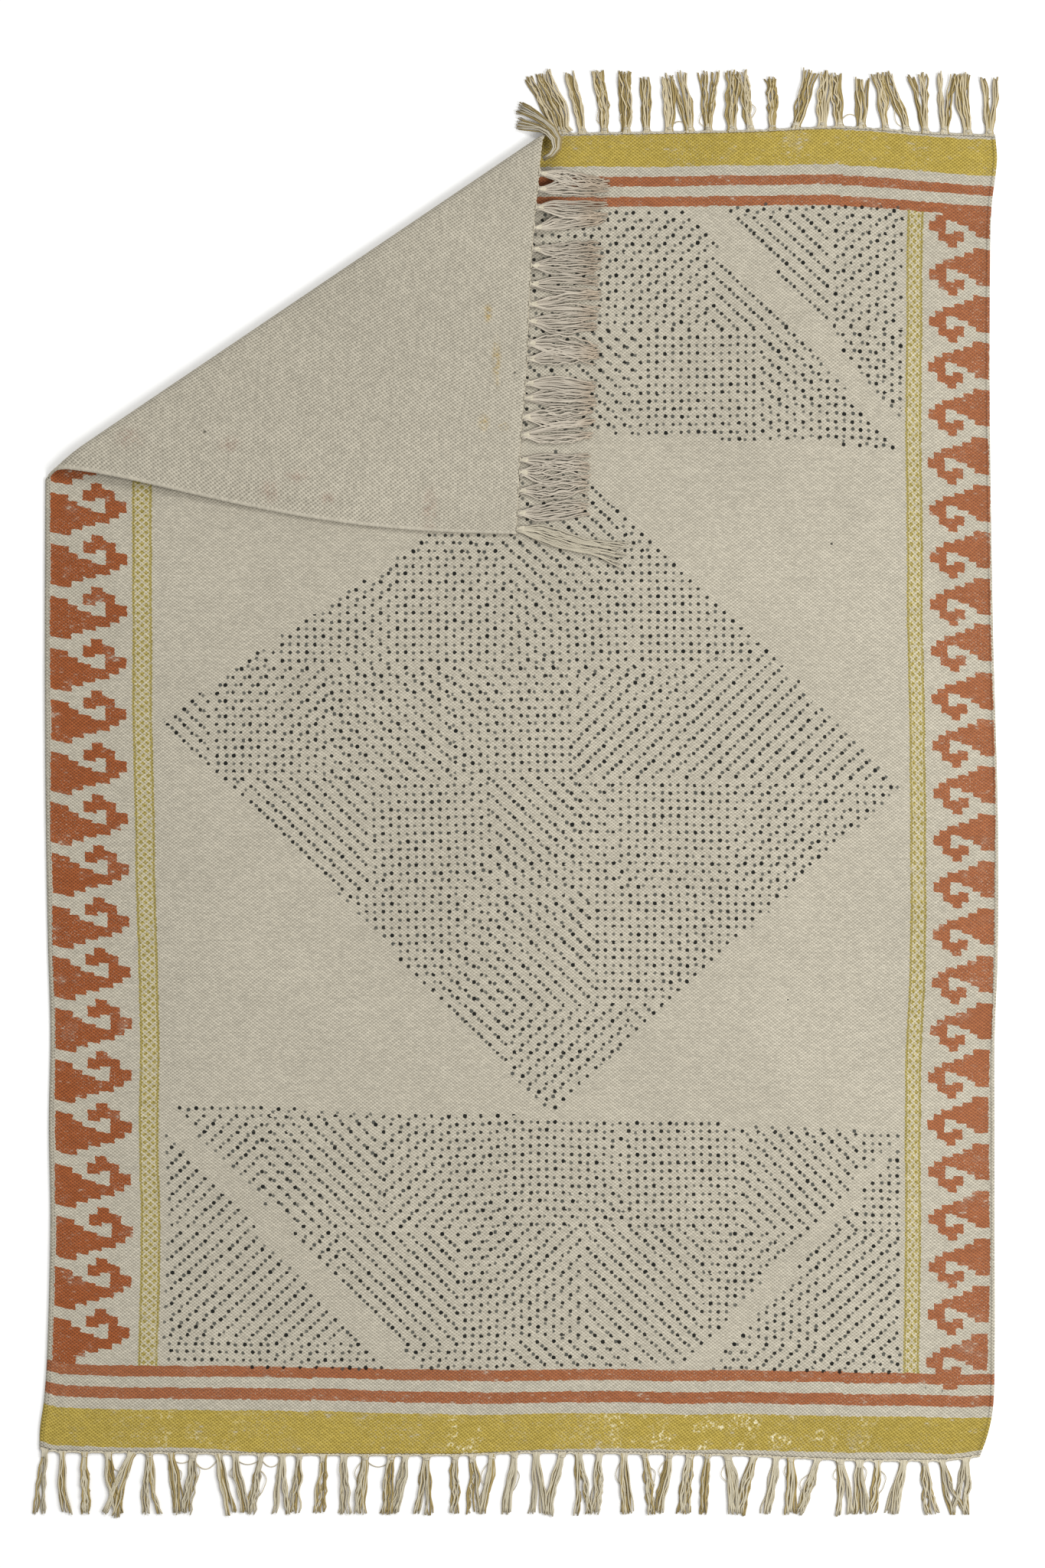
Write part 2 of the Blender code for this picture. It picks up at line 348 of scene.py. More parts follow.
# How thick each kind of yarn is: radii.
NEAR_YARN = 0.00114
FAR_YARN = 0.00112
TURNED_YARN = 0.00104
NECK_YARN = 0.00115
KNOT_YARN = 0.00095
STRAY_YARN = 0.00050
SWAG_YARN = 0.00055
CURLED_YARN = 0.00100

# Where the two loose fringes are cut straight across, along Y.
NEAR_CUT = -0.9125
FAR_CUT = 0.9140

FormRow = namedtuple("FormRow", "reach width")
# Half of a tassel's width along its length: gathered at its neck, then loose.  Millimetres.
HANGING_FORM = [
    FormRow(0, 4.6),
    FormRow(5, 3.3),
    FormRow(9, 3.3),
    FormRow(20, 4.7),
    FormRow(38, 5.4),
    FormRow(60, 5.1),
    FormRow(80, 5.9),
    FormRow(140, 9.0),
]
LAID_FORM = [
    FormRow(0, 4.0),
    FormRow(5, 2.8),
    FormRow(10, 4.4),
    FormRow(24, 8.6),
    FormRow(50, 10.2),
    FormRow(72, 9.0),
    FormRow(92, 7.0),
    FormRow(140, 10.0),
]

PathRow = namedtuple("PathRow", "x y z")
# The tassel beside the roll curls back over it in two locks and comes down on the floor:
# millimetres.
UPPER_LOCK = [
    PathRow(30.0, 803.0, 13.0),
    PathRow(40.0, 806.0, 17.5),
    PathRow(47.5, 815.0, 19.0),
    PathRow(47.5, 827.0, 18.0),
    PathRow(40.0, 840.0, 15.5),
    PathRow(29.0, 850.0, 11.5),
    PathRow(17.0, 858.5, 7.5),
    PathRow(5.5, 864.5, 4.2),
    PathRow(-4.5, 868.5, 2.6),
]
LOWER_LOCK = [
    PathRow(28.0, 802.0, 14.0),
    PathRow(37.5, 807.5, 18.0),
    PathRow(42.5, 816.0, 19.0),
    PathRow(41.0, 826.5, 18.0),
    PathRow(33.5, 836.0, 14.5),
    PathRow(23.5, 842.0, 9.5),
    PathRow(12.5, 845.0, 5.5),
    PathRow(2.0, 847.0, 3.0),
    PathRow(-6.0, 848.5, 2.2),
]

# The finishes that every fringe has, in the order of its materials.
LOOSE, DYED, CLEAN = range(3)


class Yarns:
    """Yarns laid as open curves, then turned into one mesh of round strands."""

    def __init__(self, name, materials):
        self.name = name
        self.curve = bpy.data.curves.new(name, "CURVE")
        self.curve.dimensions = "3D"
        self.curve.bevel_depth = 1.0
        self.curve.bevel_resolution = 1
        self.curve.use_fill_caps = True
        for finish in materials:
            self.curve.materials.append(finish)

    def lay(self, points, radius, finish=CLEAN):
        strand = self.curve.splines.new("POLY")
        strand.points.add(len(points) - 1)
        strand.material_index = finish
        for index, (knot, point) in enumerate(zip(strand.points, points)):
            tip = index in (0, len(points) - 1)
            knot.co = (point.x, point.y, point.z, 1.0)
            knot.radius = radius * (0.8 if tip else 1.0)

    def mesh_object(self):
        """One mesh, each strand numbered by the whole part of its map's first coordinate."""
        item = put_in_scene(self.name, self.curve)
        bpy.context.view_layer.update()
        depsgraph = bpy.context.evaluated_depsgraph_get()
        data = bpy.data.meshes.new_from_object(item.evaluated_get(depsgraph))
        bpy.data.objects.remove(item)
        bpy.data.curves.remove(self.curve)
        mesh = bmesh.new()
        mesh.from_mesh(data)
        bmesh.ops.remove_doubles(mesh, verts=mesh.verts[:], dist=1e-6)
        number_strands(mesh)
        bmesh.ops.recalc_face_normals(mesh, faces=mesh.faces[:])
        mesh.to_mesh(data)
        mesh.free()
        data.name = self.name
        return put_in_scene(self.name, data)


def number_strands(mesh):
    """Give each strand its own number, and measure its map along it in metres."""
    uv = mesh.loops.layers.uv.active
    seen = set()
    number = 0
    for first in mesh.faces:
        if first in seen:
            continue
        number += 1
        strand = [first]
        seen.add(first)
        for polygon in strand:
            for edge in polygon.edges:
                for other in edge.link_faces:
                    if other not in seen:
                        seen.add(other)
                        strand.append(other)
        low = Vector(strand[0].verts[0].co)
        high = low.copy()
        for polygon in strand:
            polygon.smooth = True
            for vert in polygon.verts:
                low = Vector(map(min, low, vert.co))
                high = Vector(map(max, high, vert.co))
        length = (high - low).length
        for polygon in strand:
            for loop in polygon.loops:
                around, along = loop[uv].uv
                loop[uv].uv = (number + 0.05 + 0.9 * around, along * length)


def directions(turn):
    """The way a tassel points, and the way across it."""
    outward = Vector((math.cos(turn), math.sin(turn)))
    return outward, Vector((-outward.y, outward.x))


def floor_below(_place):
    return 0.0


def cloth_below(place):
    return CLOTH_THICK + ripple(place) + 0.0002


def end_of_cloth(across, out, far, height=0.0):
    """A place just beyond one end of the cloth, folded with it."""
    along = CLOTH_LENGTH + out if far else -out
    return on_cloth(lay_flat(across, along), height)


def wind_heading(yarns, first, last, roots, far, lift=0.0004, set_in=0.0):
    """Two plies twisted along the end of the cloth, drawn out a little at each tassel."""
    count = round((last - first) / HEADING_STEP)
    for ply in range(2):
        points = []
        for index in range(count + 1):
            across = first + (last - first) * index / count
            nearest = min(abs(across - root) for root in roots)
            drawn = SCALLOP * (1 - ease(nearest / SCALLOP_REACH))
            turn = 2 * math.pi * across / HEADING_PITCH + math.pi * ply
            turn += 2.2 * noise.noise(Vector((across * 60, ply, 0.5)))
            out = HEADING_OUT - set_in + drawn + HEADING_WIND * math.cos(turn)
            points.append(end_of_cloth(across, out, far, HEADING_WIND * math.sin(turn) + lift))
        yarns.lay(points, HEADING_PLY)


def gather_neck(yarns, across, far, turn, ground, chance):
    """Warp ends drawn together from the edge of the cloth into the neck of a tassel."""
    outward, sideways = directions(turn)
    middle = end_of_cloth(across, 0.0, far)
    hand = 1 if far else -1
    for number in range(NECK_YARNS):
        share = (number + 0.5) / NECK_YARNS * 2 - 1
        start = end_of_cloth(across - hand * share * NECK_GATHERS, 0.0002, far)
        narrow = 0.0027 + chance.uniform(-0.0003, 0.0005)
        length = NECK_LENGTH * chance.uniform(0.9, 1.25)
        points = []
        for index in range(5):
            along = index / 4
            place = middle.to_2d() + outward * length * along + sideways * (share * narrow)
            place = start.to_2d().lerp(place, ease(along * 1.5))
            height = max(start.z + 0.0008, ground(place) + 0.0012)
            points.append(Vector((place.x, place.y, height)))
        yarns.lay(points, NECK_YARN)


def tie_knot(yarns, root, outward, ground, chance):
    """One and a half turns of yarn round a tassel's neck."""
    sideways = Vector((-outward.y, outward.x))
    start = chance.uniform(0, 2 * math.pi)
    wide = chance.uniform(0.0032, 0.0040)
    reach_at = chance.uniform(0.0040, 0.0062)
    points = []
    for index in range(15):
        share = index / 14
        turn = start + share * 2 * math.pi * 1.6
        reach = reach_at + 0.0024 * (share - 0.5)
        place = root.to_2d() + outward * reach + sideways * (wide * math.cos(turn))
        height = max(root.z + 0.0026 * math.sin(turn), ground(place) + 0.0010)
        points.append(Vector((place.x, place.y, height)))
    yarns.lay(points, KNOT_YARN)


# How a tassel points, how long it is, how many yarns it has and how widely they fan out, what share
# of them is dyed, and how much they twist together.
TasselRow = namedtuple("TasselRow", "turn length count spread dyed twist")


def lay_tassel(
    yarns, root, tassel, form, ground, radius, chance, points_each=12, frizz=0.0006, finish=LOOSE
):
    """Yarns gathered at a root, loosening along their length and coming down to rest."""
    outward, sideways = directions(tassel.turn)
    bend = chance.gauss(0, 0.0034)
    sway = chance.uniform(0.0006, 0.0022)
    sway_at = chance.uniform(0, 2 * math.pi)
    apart = chance.choice((0, 0, 0, 0, 0, 1, 2)) * 0.0026
    slack = chance.choice((0.5, 0.7, 0.8, 1.0, 1.3))
    twist = tassel.twist * chance.choice((-0.5, 0.0, 0.5, 0.9))
    drop = max(root.z - ground(root), 0.0)
    droop_in = max(0.012, 5.0 * drop)
    for number in range(tassel.count):
        share = (number + 0.5) / tassel.count * 2 - 1
        share += chance.uniform(-0.12, 0.12)
        layer = (number + chance.choice((0, 0, 1))) % 2
        length = tassel.length * (1 + chance.uniform(-0.03 - 22 * frizz, 0.015 + 8 * frizz))
        wave = slack * chance.uniform(0.0004, 0.0019)
        wave_long = chance.uniform(0.018, 0.042)
        wave_at = chance.uniform(0, 2 * math.pi)
        stray = chance.gauss(0, 0.0009)
        curl = chance.gauss(0, 1.0) * frizz
        drift = twist * (0.5 if layer else -0.5)
        points = []
        for index in range(points_each):
            reach = length * index / (points_each - 1)
            loose = ease((reach - LOOSE_FROM) / LOOSE_IN)
            along = reach / tassel.length
            here = max(min(share + drift * (along - 0.5) * 2 * loose, 1.15), -1.15)
            side = here * tassel.spread * read_table(form, "width", reach)
            side += bend * along * along + sway * loose * math.sin(reach / 0.017 + sway_at)
            side += loose * wave * math.sin(2 * math.pi * reach / wave_long + wave_at)
            side += stray * along + math.copysign(apart * along * along, share)
            side += curl * max(along - 0.72, 0.0) / 0.28
            place = root.to_2d() + outward * reach + sideways * side
            rest = ground(place) + radius * (1.1 + 1.6 * layer)
            rest += loose * 0.0003 * (1 + math.sin(reach / 0.006 + wave_at))
            start = root.z + radius * (1.5 * layer - 0.5)
            height = start + (rest - start) * ease(reach / droop_in)
            points.append(Vector((place.x, place.y, max(height, ground(place) + radius))))
        dyed = chance.random() < tassel.dyed * (0.3 if layer else 1.0)
        yarns.lay(points, radius * chance.uniform(0.86, 1.10), DYED if dyed else finish)


def lay_stray(yarns, root, tassel, ground, chance):
    """A thin yarn that bows away from its tassel and comes back to it."""
    outward, sideways = directions(tassel.turn)
    bow = chance.choice((-1, 1)) * chance.uniform(0.006, 0.012)
    first = chance.uniform(0.004, 0.020)
    last = first + chance.uniform(0.025, 0.045)
    points = []
    for index in range(12):
        share = index / 11
        side = bow * math.sin(math.pi * share**0.8) + 0.0010 * math.sin(share * 9)
        place = root.to_2d() + outward * (first + (last - first) * share) + sideways * side
        height = ground(place) + 0.0007 + 0.0015 * math.sin(math.pi * share)
        points.append(Vector((place.x, place.y, height)))
    yarns.lay(points, STRAY_YARN, LOOSE)


def hang_swag(yarns, start, end, outward, ground, chance):
    """A slack end caught between two roots."""
    slack = chance.uniform(0.007, 0.015)
    points = []
    for index in range(12):
        share = index / 11
        place = start.lerp(end, share).to_2d() + outward * (0.006 + slack * 4 * share * (1 - share))
        points.append(Vector((place.x, place.y, ground(place) + 0.0008)))
    yarns.lay(points, SWAG_YARN, LOOSE)


def root_places(run, chance):
    """Evenly spaced roots, each a little out of its place."""
    pitch = (run.last - run.first) / (run.count - 1)
    places = [run.first + pitch * index for index in range(run.count)]
    inner = range(1, run.count - 1)
    for index in inner:
        places[index] += chance.uniform(-0.0050, 0.0050)
    return places


def cut_length(root, turn, cut):
    """How long a tassel is that ends on a straight cut across the fringe."""
    return abs(cut - root.y) / abs(math.sin(turn))


# The first two far tassels, a wide fan and a narrow one, lean over beside the roll; the turned
# corner's own tassel is the longest.
BESIDE_ROLL = [
    TasselRow(math.radians(108), 0.0820, 22, 2.9, 0.6, 0.3),
    TasselRow(math.radians(103), 0.0790, 11, 1.2, 0.9, 0.5),
]
AT_CORNER = TasselRow(math.radians(-13.5), 0.1380, 20, 1.0, 0.0, 0.6)
TURNED_LENGTH = 0.0880


def build_near_fringe(materials):
    chance = random.Random(31)
    yarns = Yarns("near_fringe", materials)
    places = root_places(NEAR_TASSELS, chance)
    wind_heading(yarns, 0.0005, CLOTH_WIDTH - 0.0005, places, far=False)
    roots = [end_of_cloth(across, HEADING_OUT, far=False) for across in places]
    down = Vector((0.0, -1.0))
    for number, root in enumerate(roots):
        turn = -math.pi / 2 + math.radians(chance.gauss(-1.0, 7.5))
        length = cut_length(root, turn, NEAR_CUT)
        count = chance.choice((8, 10, 11, 12, 13))
        spread = chance.uniform(0.80, 1.25)
        tassel = TasselRow(turn, length, count, spread, chance.choice((0.1, 0.4, 0.8)), 1.0)
        lay_tassel(yarns, root, tassel, HANGING_FORM, floor_below, NEAR_YARN, chance)
        gather_neck(yarns, places[number], False, turn, floor_below, chance)
        if chance.random() < 0.5:
            tie_knot(yarns, root, down, floor_below, chance)
        if chance.random() < 0.45:
            lay_stray(yarns, root, tassel, floor_below, chance)
        if number and chance.random() < 0.08:
            hang_swag(yarns, roots[number - 1], root, down, floor_below, chance)
    return yarns.mesh_object()


def build_far_fringe(materials):
    chance = random.Random(47)
    yarns = Yarns("far_fringe", materials)
    places = root_places(FAR_TASSELS, chance)
    wind_heading(yarns, HEADINGS_MEET, CLOTH_WIDTH - 0.0005, places, far=True)
    roots = [end_of_cloth(across, HEADING_OUT, far=True) for across in places]
    up = Vector((0.0, 1.0))
    for number, root in enumerate(roots):
        turn = math.pi / 2 + math.radians(chance.gauss(2.0, 6.0))
        length = cut_length(root, turn, FAR_CUT) - chance.choice((0, 0, 0.003, 0.008))
        count = chance.choice((10, 11, 12, 13, 14))
        tassel = TasselRow(turn, length, count, chance.uniform(1.0, 1.5), 0.9, 1.0)
        if number < len(BESIDE_ROLL):
            tassel = BESIDE_ROLL[number]
        lay_tassel(yarns, root, tassel, HANGING_FORM, floor_below, FAR_YARN, chance, frizz=0.0012)
        gather_neck(yarns, places[number], True, tassel.turn, floor_below, chance)
        tie_knot(yarns, root, up, floor_below, chance)
        if chance.random() < 0.55:
            lay_stray(yarns, root, tassel, floor_below, chance)
        if number and chance.random() < 0.07:
            hang_swag(yarns, roots[number - 1], root, up, floor_below, chance)
    return yarns.mesh_object()


def build_turned_fringe(materials):
    chance = random.Random(59)
    yarns = Yarns("turned_fringe", materials)
    places = root_places(TURNED_TASSELS, chance)
    wind_heading(yarns, 0.0005, HEADINGS_MEET - 0.0006, places, far=True, lift=0.0014, set_in=0.0016)
    for number, across in enumerate(places):
        root = end_of_cloth(across, HEADING_OUT, far=True)
        turn = math.radians(chance.gauss(0.0, 3.5))
        count = chance.choice((10, 12, 13, 14))
        tassel = TasselRow(turn, TURNED_LENGTH, count, chance.uniform(0.9, 1.35), 0.04, 0.25)
        finish = LOOSE
        if number == 0:
            tassel, finish = AT_CORNER, CLEAN
        lay_tassel(yarns, root, tassel, LAID_FORM, cloth_below, TURNED_YARN, chance, 17, 0.0030, finish)
        gather_neck(yarns, across, True, turn, cloth_below, chance)
        if chance.random() < 0.6:
            lay_stray(yarns, root, tassel, cloth_below, chance)
    curl_tassel(yarns, chance)
    return yarns.mesh_object()


def curl_tassel(yarns, chance):
    """The tassel beside the roll, each lock along its own path, fanning out to its tips."""
    for lock, count in ((UPPER_LOCK, 11), (LOWER_LOCK, 9)):
        for number in range(count):
            share = (number + 0.5) / count * 2 - 1
            layer = number % 2
            wave_at = chance.uniform(0, 2 * math.pi)
            short = chance.uniform(0.0, 0.004)
            points = []
            for index, row in enumerate(lock):
                before = lock[max(index - 1, 0)]
                after = lock[min(index + 1, len(lock) - 1)]
                way = Vector((after.x - before.x, after.y - before.y)).normalized()
                sideways = Vector((-way.y, way.x))
                along = index / (len(lock) - 1)
                side = share * (0.0024 + 0.0062 * along * along)
                side += 0.0007 * math.sin(along * 11 + wave_at)
                place = Vector((row.x, row.y)) / 1000 + sideways * side - way * short * along
                height = row.z / 1000 + 0.0014 * layer * (1 - 0.4 * along)
                points.append(Vector((place.x, place.y, height)))
            yarns.lay(points, CURLED_YARN, DYED if chance.random() < 0.4 else CLEAN)


# ---------------------------------------------------------------- nodes
HALVES = (0.5, 0.5, 0.5)
FLAT = (1.0, 1.0, 0.0)
FULL_TURN = 2 * math.pi


class Wire:
    """What a node puts out.  Arithmetic on wires lays down the Math nodes for it."""

    def __init__(self, socket):
        self.socket = socket
        self.tree = socket.id_data

    def __add__(self, other):
        return calc("ADD", self, other)

    def __sub__(self, other):
        return calc("SUBTRACT", self, other)

    def __rsub__(self, other):
        return calc("SUBTRACT", other, self)

    def __mul__(self, other):
        return calc("MULTIPLY", self, other)

    def __truediv__(self, other):
        return calc("DIVIDE", self, other)

    def __mod__(self, other):
        return calc("FLOORED_MODULO", self, other)

    def __gt__(self, other):
        return calc("GREATER_THAN", self, other)

    def __lt__(self, other):
        return calc("LESS_THAN", self, other)

    def __abs__(self):
        return calc("ABSOLUTE", self)


def tree_of(values):
    return next(value.tree for value in values if isinstance(value, Wire))


def plug(value, socket):
    """Join a wire to a socket, or set the socket's own value; None leaves it as it is."""
    if isinstance(value, Wire):
        value.tree.links.new(value.socket, socket)
    elif value is not None:
        socket.default_value = value


def put(kind, *values, tree=None, out=0, **settings):
    """One node: its inputs in order, and its settings."""
    node = (tree or tree_of(values)).nodes.new("ShaderNode" + kind)
    for name, value in settings.items():
        setattr(node, name, value)
    for value, socket in zip(values, node.inputs):
        plug(value, socket)
    return Wire(node.outputs[out])


def calc(operation, *values):
    return put("Math", *values, operation=operation)


def vec(operation, *values):
    out = 1 if operation in ("LENGTH", "DOT_PRODUCT") else 0
    return put("VectorMath", *values, operation=operation, out=out)


def scaled(vector, scale):
    return put("VectorMath", vector, None, None, scale, operation="SCALE")


def split(vector):
    node = vector.tree.nodes.new("ShaderNodeSeparateXYZ")
    plug(vector, node.inputs[0])
    return [Wire(output) for output in node.outputs]


def join(x=0.0, y=0.0, z=0.0):
    return put("CombineXYZ", x, y, z)


def step_up(value, low, high):
    """0 below low, 1 above high, smooth between."""
    return put("MapRange", value, low, high, 0.0, 1.0, interpolation_type="SMOOTHSTEP")


def cloud(place, scale, detail=2.0, roughness=0.5, out=0):
    """Soft noise over the cloth; scale is in features to a metre."""
    return put("TexNoise", place, None, scale, detail, roughness, out=out)


def chance(place, out=0):
    """A random value, or with out=1 three of them, for each whole-number place."""
    return put("TexWhiteNoise", place, out=out, noise_dimensions="3D")


def blend(amount, low, high, mode="MIX"):
    """A mix of two colours; inputs 6 and 7 of a Mix node are its colours."""
    unused = [None] * 5
    return put("Mix", amount, *unused, low, high, out=2, data_type="RGBA", blend_type=mode)


def group(name, takes, gives):
    """An empty node group, its inputs by name and the node that its results go to."""
    tree = bpy.data.node_groups.new(name, "ShaderNodeTree")
    kinds = {"v": "NodeSocketVector", "f": "NodeSocketFloat", "c": "NodeSocketColor"}
    for label, kind in takes.items():
        tree.interface.new_socket(label, in_out="INPUT", socket_type=kinds[kind])
    for label, kind in gives.items():
        tree.interface.new_socket(label, in_out="OUTPUT", socket_type=kinds[kind])
    entry = tree.nodes.new("NodeGroupInput")
    leave = tree.nodes.new("NodeGroupOutput")
    return tree, {socket.name: Wire(socket) for socket in entry.outputs if socket.name}, leave


def use(made, **values):
    """Place a group where its wires are; returns its outputs by name."""
    node = tree_of(values.values()).nodes.new("ShaderNodeGroup")
    node.node_tree = made
    for label, value in values.items():
        plug(value, node.inputs[label])
    return {socket.name: Wire(socket) for socket in node.outputs}


def send(leave, **results):
    for label, value in results.items():
        plug(value, leave.inputs[label])


def flat_distance(place, across, along):
    """How far a place on the cloth is from one point of it."""
    off = vec("SUBTRACT", place, (across, along, 0.0))
    return vec("LENGTH", vec("MULTIPLY", off, FLAT))


def jitter_of(random_colour):
    return vec("SUBTRACT", random_colour, HALVES)


# ---------------------------------------------------------------- weave
FLOAT_LENGTH = 0.0052
PICK_PITCH = 0.00207
SELVEDGE_CORD = 0.0052
SELVEDGE_TURN = 0.0043
WANDER = 0.002
WEAVE_DEPTH = 0.0007
# Undyed cotton: its painted shade in the hollows between floats, then its own colour on the floats.
COTTON_SHADED = (0.300, 0.272, 0.210, 1)
COTTON = (0.516, 0.475, 0.382, 1)


def weave_group():
    """Plain weave seen from above: short oval floats in rows, each row half a float along."""
    tree, take, leave = group("weave", {"Place": "v"}, {"Height": "f", "Float": "c", "Slub": "f"})
    wander = jitter_of(cloud(take["Place"], 75.0, out=1))
    place = vec("ADD", take["Place"], scaled(wander, WANDER))
    x, y, _ = split(place)
    pick = y / PICK_PITCH
    across = x / FLOAT_LENGTH
    falling = calc("COSINE", (across + pick * 0.5) * FULL_TURN)
    rising = calc("COSINE", (across - pick * 0.5) * FULL_TURN)
    leaning = cloud(take["Place"], 30.0, 1.0)
    rising_share = leaning * 0.3 + 0.1
    height = falling * 0.26 + (rising * rising_share + 0.5)
    row = calc("FLOOR", pick + 0.5)
    odd = (row % 2.0) * 0.5 + 0.5
    column = calc("FLOOR", across + odd)
    own = chance(join(column, row, 3.0), out=1)
    loose = split(own)[2] * 0.4 + 0.8
    slub = cloud(vec("MULTIPLY", place, (14.0, 420.0, 1.0)), 1.0, 1.0)
    send(leave, Height=height * loose, Float=own, Slub=slub)
    return tree


def cotton_group():
    """Undyed cotton: pale floats with painted shade in the hollows between them, streaky picks and a faint
    cloudiness.
    """
    tree, take, leave = group(
        "undyed cotton",
        {"Place": "v", "Height": "f", "Float": "c", "Slub": "f"},
        {"Color": "c", "Shade": "f"},
    )
    # Painted shade: the cotton darkens from the tops of the floats down into the hollows between them.
    rise = step_up(take["Height"], 0.0, 0.8)
    colour = blend(rise, COTTON_SHADED, COTTON)
    streak = take["Slub"] * 0.16 + 0.92
    own = split(take["Float"])[0] * 0.2 + 0.9
    haze = cloud(take["Place"], 5.0, 4.0, 0.6) * 0.22 + 0.89
    shade = streak * own * haze
    send(leave, Color=scaled(colour, shade), Shade=shade)
    return tree


# ---------------------------------------------------------------- the print
HookRow = namedtuple("HookRow", "reach base_from base_to curl_from curl_to")
# One hook, read inwards from its foot on the selvedge; heights from the level of its tip, as
# they would be if its steps didn't slope.  Millimetres.  NONE is below everything.
NONE = -40.0
HOOK = [
    HookRow(0.0, -35.5, 15.9, NONE, NONE),
    HookRow(22.3, -35.2, 9.2, NONE, NONE),
    HookRow(26.7, -26.9, 9.0, NONE, NONE),
    HookRow(34.4, -26.7, 3.6, NONE, NONE),
    HookRow(41.2, -19.9, 3.4, 12.1, 26.0),
    HookRow(51.9, -19.3, -0.3, 12.5, 36.1),
    HookRow(57.2, -13.7, -0.2, 17.6, 36.7),
    HookRow(66.4, -13.1, 0.0, 18.4, 31.5),
    HookRow(69.8, -12.9, 30.0, NONE, NONE),
    HookRow(75.2, -5.3, 29.3, NONE, NONE),
    HookRow(82.0, -5.1, 18.0, NONE, NONE),
    HookRow(87.3, 3.7, 17.8, NONE, NONE),
    HookRow(96.5, NONE, NONE, NONE, NONE),
]
HOOK_CHART = 0.100
HOOK_HALF = -NONE
HOOK_SLOPE = 0.12
FOOT_REACH = 0.0344
FOOT_MIDDLE = -0.0098
CURL_MIDDLE = 0.0049
HOOK_SLIP = 0.0024
# The last foot on the left, and where the last curl on the right was begun over the stripe.
LAST_FOOT_RUN = 0.0655
LAST_FOOT_REACH = 0.0300
BEGUN_REACH = (0.047, 0.070)
BEGUN_RUN = (0.0365, 0.0559)
# Where each column of hooks starts: in from the selvedge, and along to the tip of one hook.
LEFT_FOOT = 0.0068
LEFT_TIP = 0.8761
LEFT_PITCH = 0.0659
RIGHT_FOOT = 0.0090
RIGHT_FOOT_LEAN = 0.0062
RIGHT_TIP = 0.8441
RIGHT_PITCH = 0.0600
RIGHT_NARROWING = 1.25
RIGHT_SQUASH = 0.90

BandRow = namedtuple("BandRow", "axis lean width pitch")
# The two trellis bands: across to the middle of each, and how much it leans over along the cloth.
TRELLIS_BANDS = [
    BandRow(0.1283, -0.0048, 0.0218, 0.0104),
    BandRow(CLOTH_WIDTH - 0.1062, 0.0070, 0.0172, 0.0126),
]

PrintRow = namedtuple("PrintRow", "across near_line near_hem far_line far_hem wear")
# The end bands are printed by eye: how far in from the cloth's edge the inner side of the mustard
# band runs, how wide a bare hem is left outside it, and how worn the near band is.
PRINT_LINES = [
    PrintRow(0, 55.2, 7.5, 41.5, 2.0, 0),
    PrintRow(20, 54.9, 7.0, 41.5, 2.0, 0),
    PrintRow(120, 54.2, 4.5, 41.5, 2.0, 25),
    PrintRow(200, 55.3, 6.5, 41.5, 2.0, 35),
    PrintRow(280, 54.8, 1.0, 41.5, 2.0, 5),
    PrintRow(500, 50.8, 0.0, 41.5, 2.0, 10),
    PrintRow(535, 50.0, 0.0, 41.5, 2.0, 90),
    PrintRow(580, 48.5, 0.6, 41.5, 2.0, 10),
    PrintRow(716, 48.0, 2.7, 42.0, 1.5, 50),
    PrintRow(830, 48.6, 3.5, 43.2, 0.3, 90),
    PrintRow(968, 51.0, 6.0, 46.6, 1.8, 85),
    PrintRow(1060, 54.4, 8.8, 47.0, 2.0, 15),
    PrintRow(1123, 53.4, 8.2, 48.0, 2.6, 0),
    PrintRow(1162, 51.0, 6.0, 50.2, 4.4, 0),
    PrintRow(1200, 46.5, 6.0, 51.0, 4.0, 0),
]
PRINT_SCALE = 100.0
STRIPE_BLOCK = 0.168
STRIPE_SLIP = 0.003

StripeRow = namedtuple("StripeRow", "inwards ink")
# Printed stripes at each end, inwards from the inner side of the mustard band: millimetres.
NEAR_STRIPES = [
    StripeRow(-2.0, "mustard"),
    StripeRow(0.0, "bare"),
    StripeRow(13.8, "terracotta"),
    StripeRow(28.3, "bare"),
    StripeRow(42.4, "terracotta"),
    StripeRow(55.9, "bare"),
]
FAR_STRIPES = [
    StripeRow(-2.0, "mustard"),
    StripeRow(0.0, "bare"),
    StripeRow(12.6, "terracotta"),
    StripeRow(24.8, "bare"),
    StripeRow(38.2, "terracotta"),
    StripeRow(50.8, "bare"),
]
STRIPE_CHART = 0.065
STRIPE_INKS = {"bare": (0, 0, 0, 1), "mustard": (1, 0, 0, 1), "terracotta": (0, 1, 0, 1)}

# Figures filled with dots: corners across from the left selvedge and along from the near end.
FIGURES = {
    "diamond": [(0.147, 0.937), (0.635, 0.432), (1.083, 0.851), (0.650, 1.282)],
    "far figure": [(0.418, 1.588), (0.147, 1.338), (1.084, 1.274), (0.814, 1.580)],
    "far right corner": [(0.858, 1.589), (1.087, 1.310), (1.088, 1.585)],
    "far left corner": [(0.374, 1.590), (0.147, 1.595), (0.147, 1.368)],
    "near figure": [(0.150, 0.446), (0.478, 0.106), (0.806, 0.112), (1.081, 0.412)],
    "near left corner": [(0.146, 0.410), (0.146, 0.111), (0.428, 0.107)],
    "near right corner": [(1.082, 0.397), (0.836, 0.103), (1.081, 0.109)],
}

DOT_PITCH = (0.0207, 0.0200, 1.0)
DOT_WOBBLE = 0.0014
BLOCK = (0.152, 0.143, 1.0)

StampRow = namedtuple("StampRow", "Seed Shift Slip Turn Radius Margin")
# The two stamps: the grey one lands half a dot aside and slips and turns more than the black one.
# Margin is the share of a block left bare at its edges; a negative one lets dots cross them.
GREY_STAMP = StampRow(4.0, DOT_PITCH[0] / 2, 0.0110, 0.080, 0.0022, 0.008)
BLACK_STAMP = StampRow(8.0, 0.0, 0.0016, 0.014, 0.0024, -0.017)


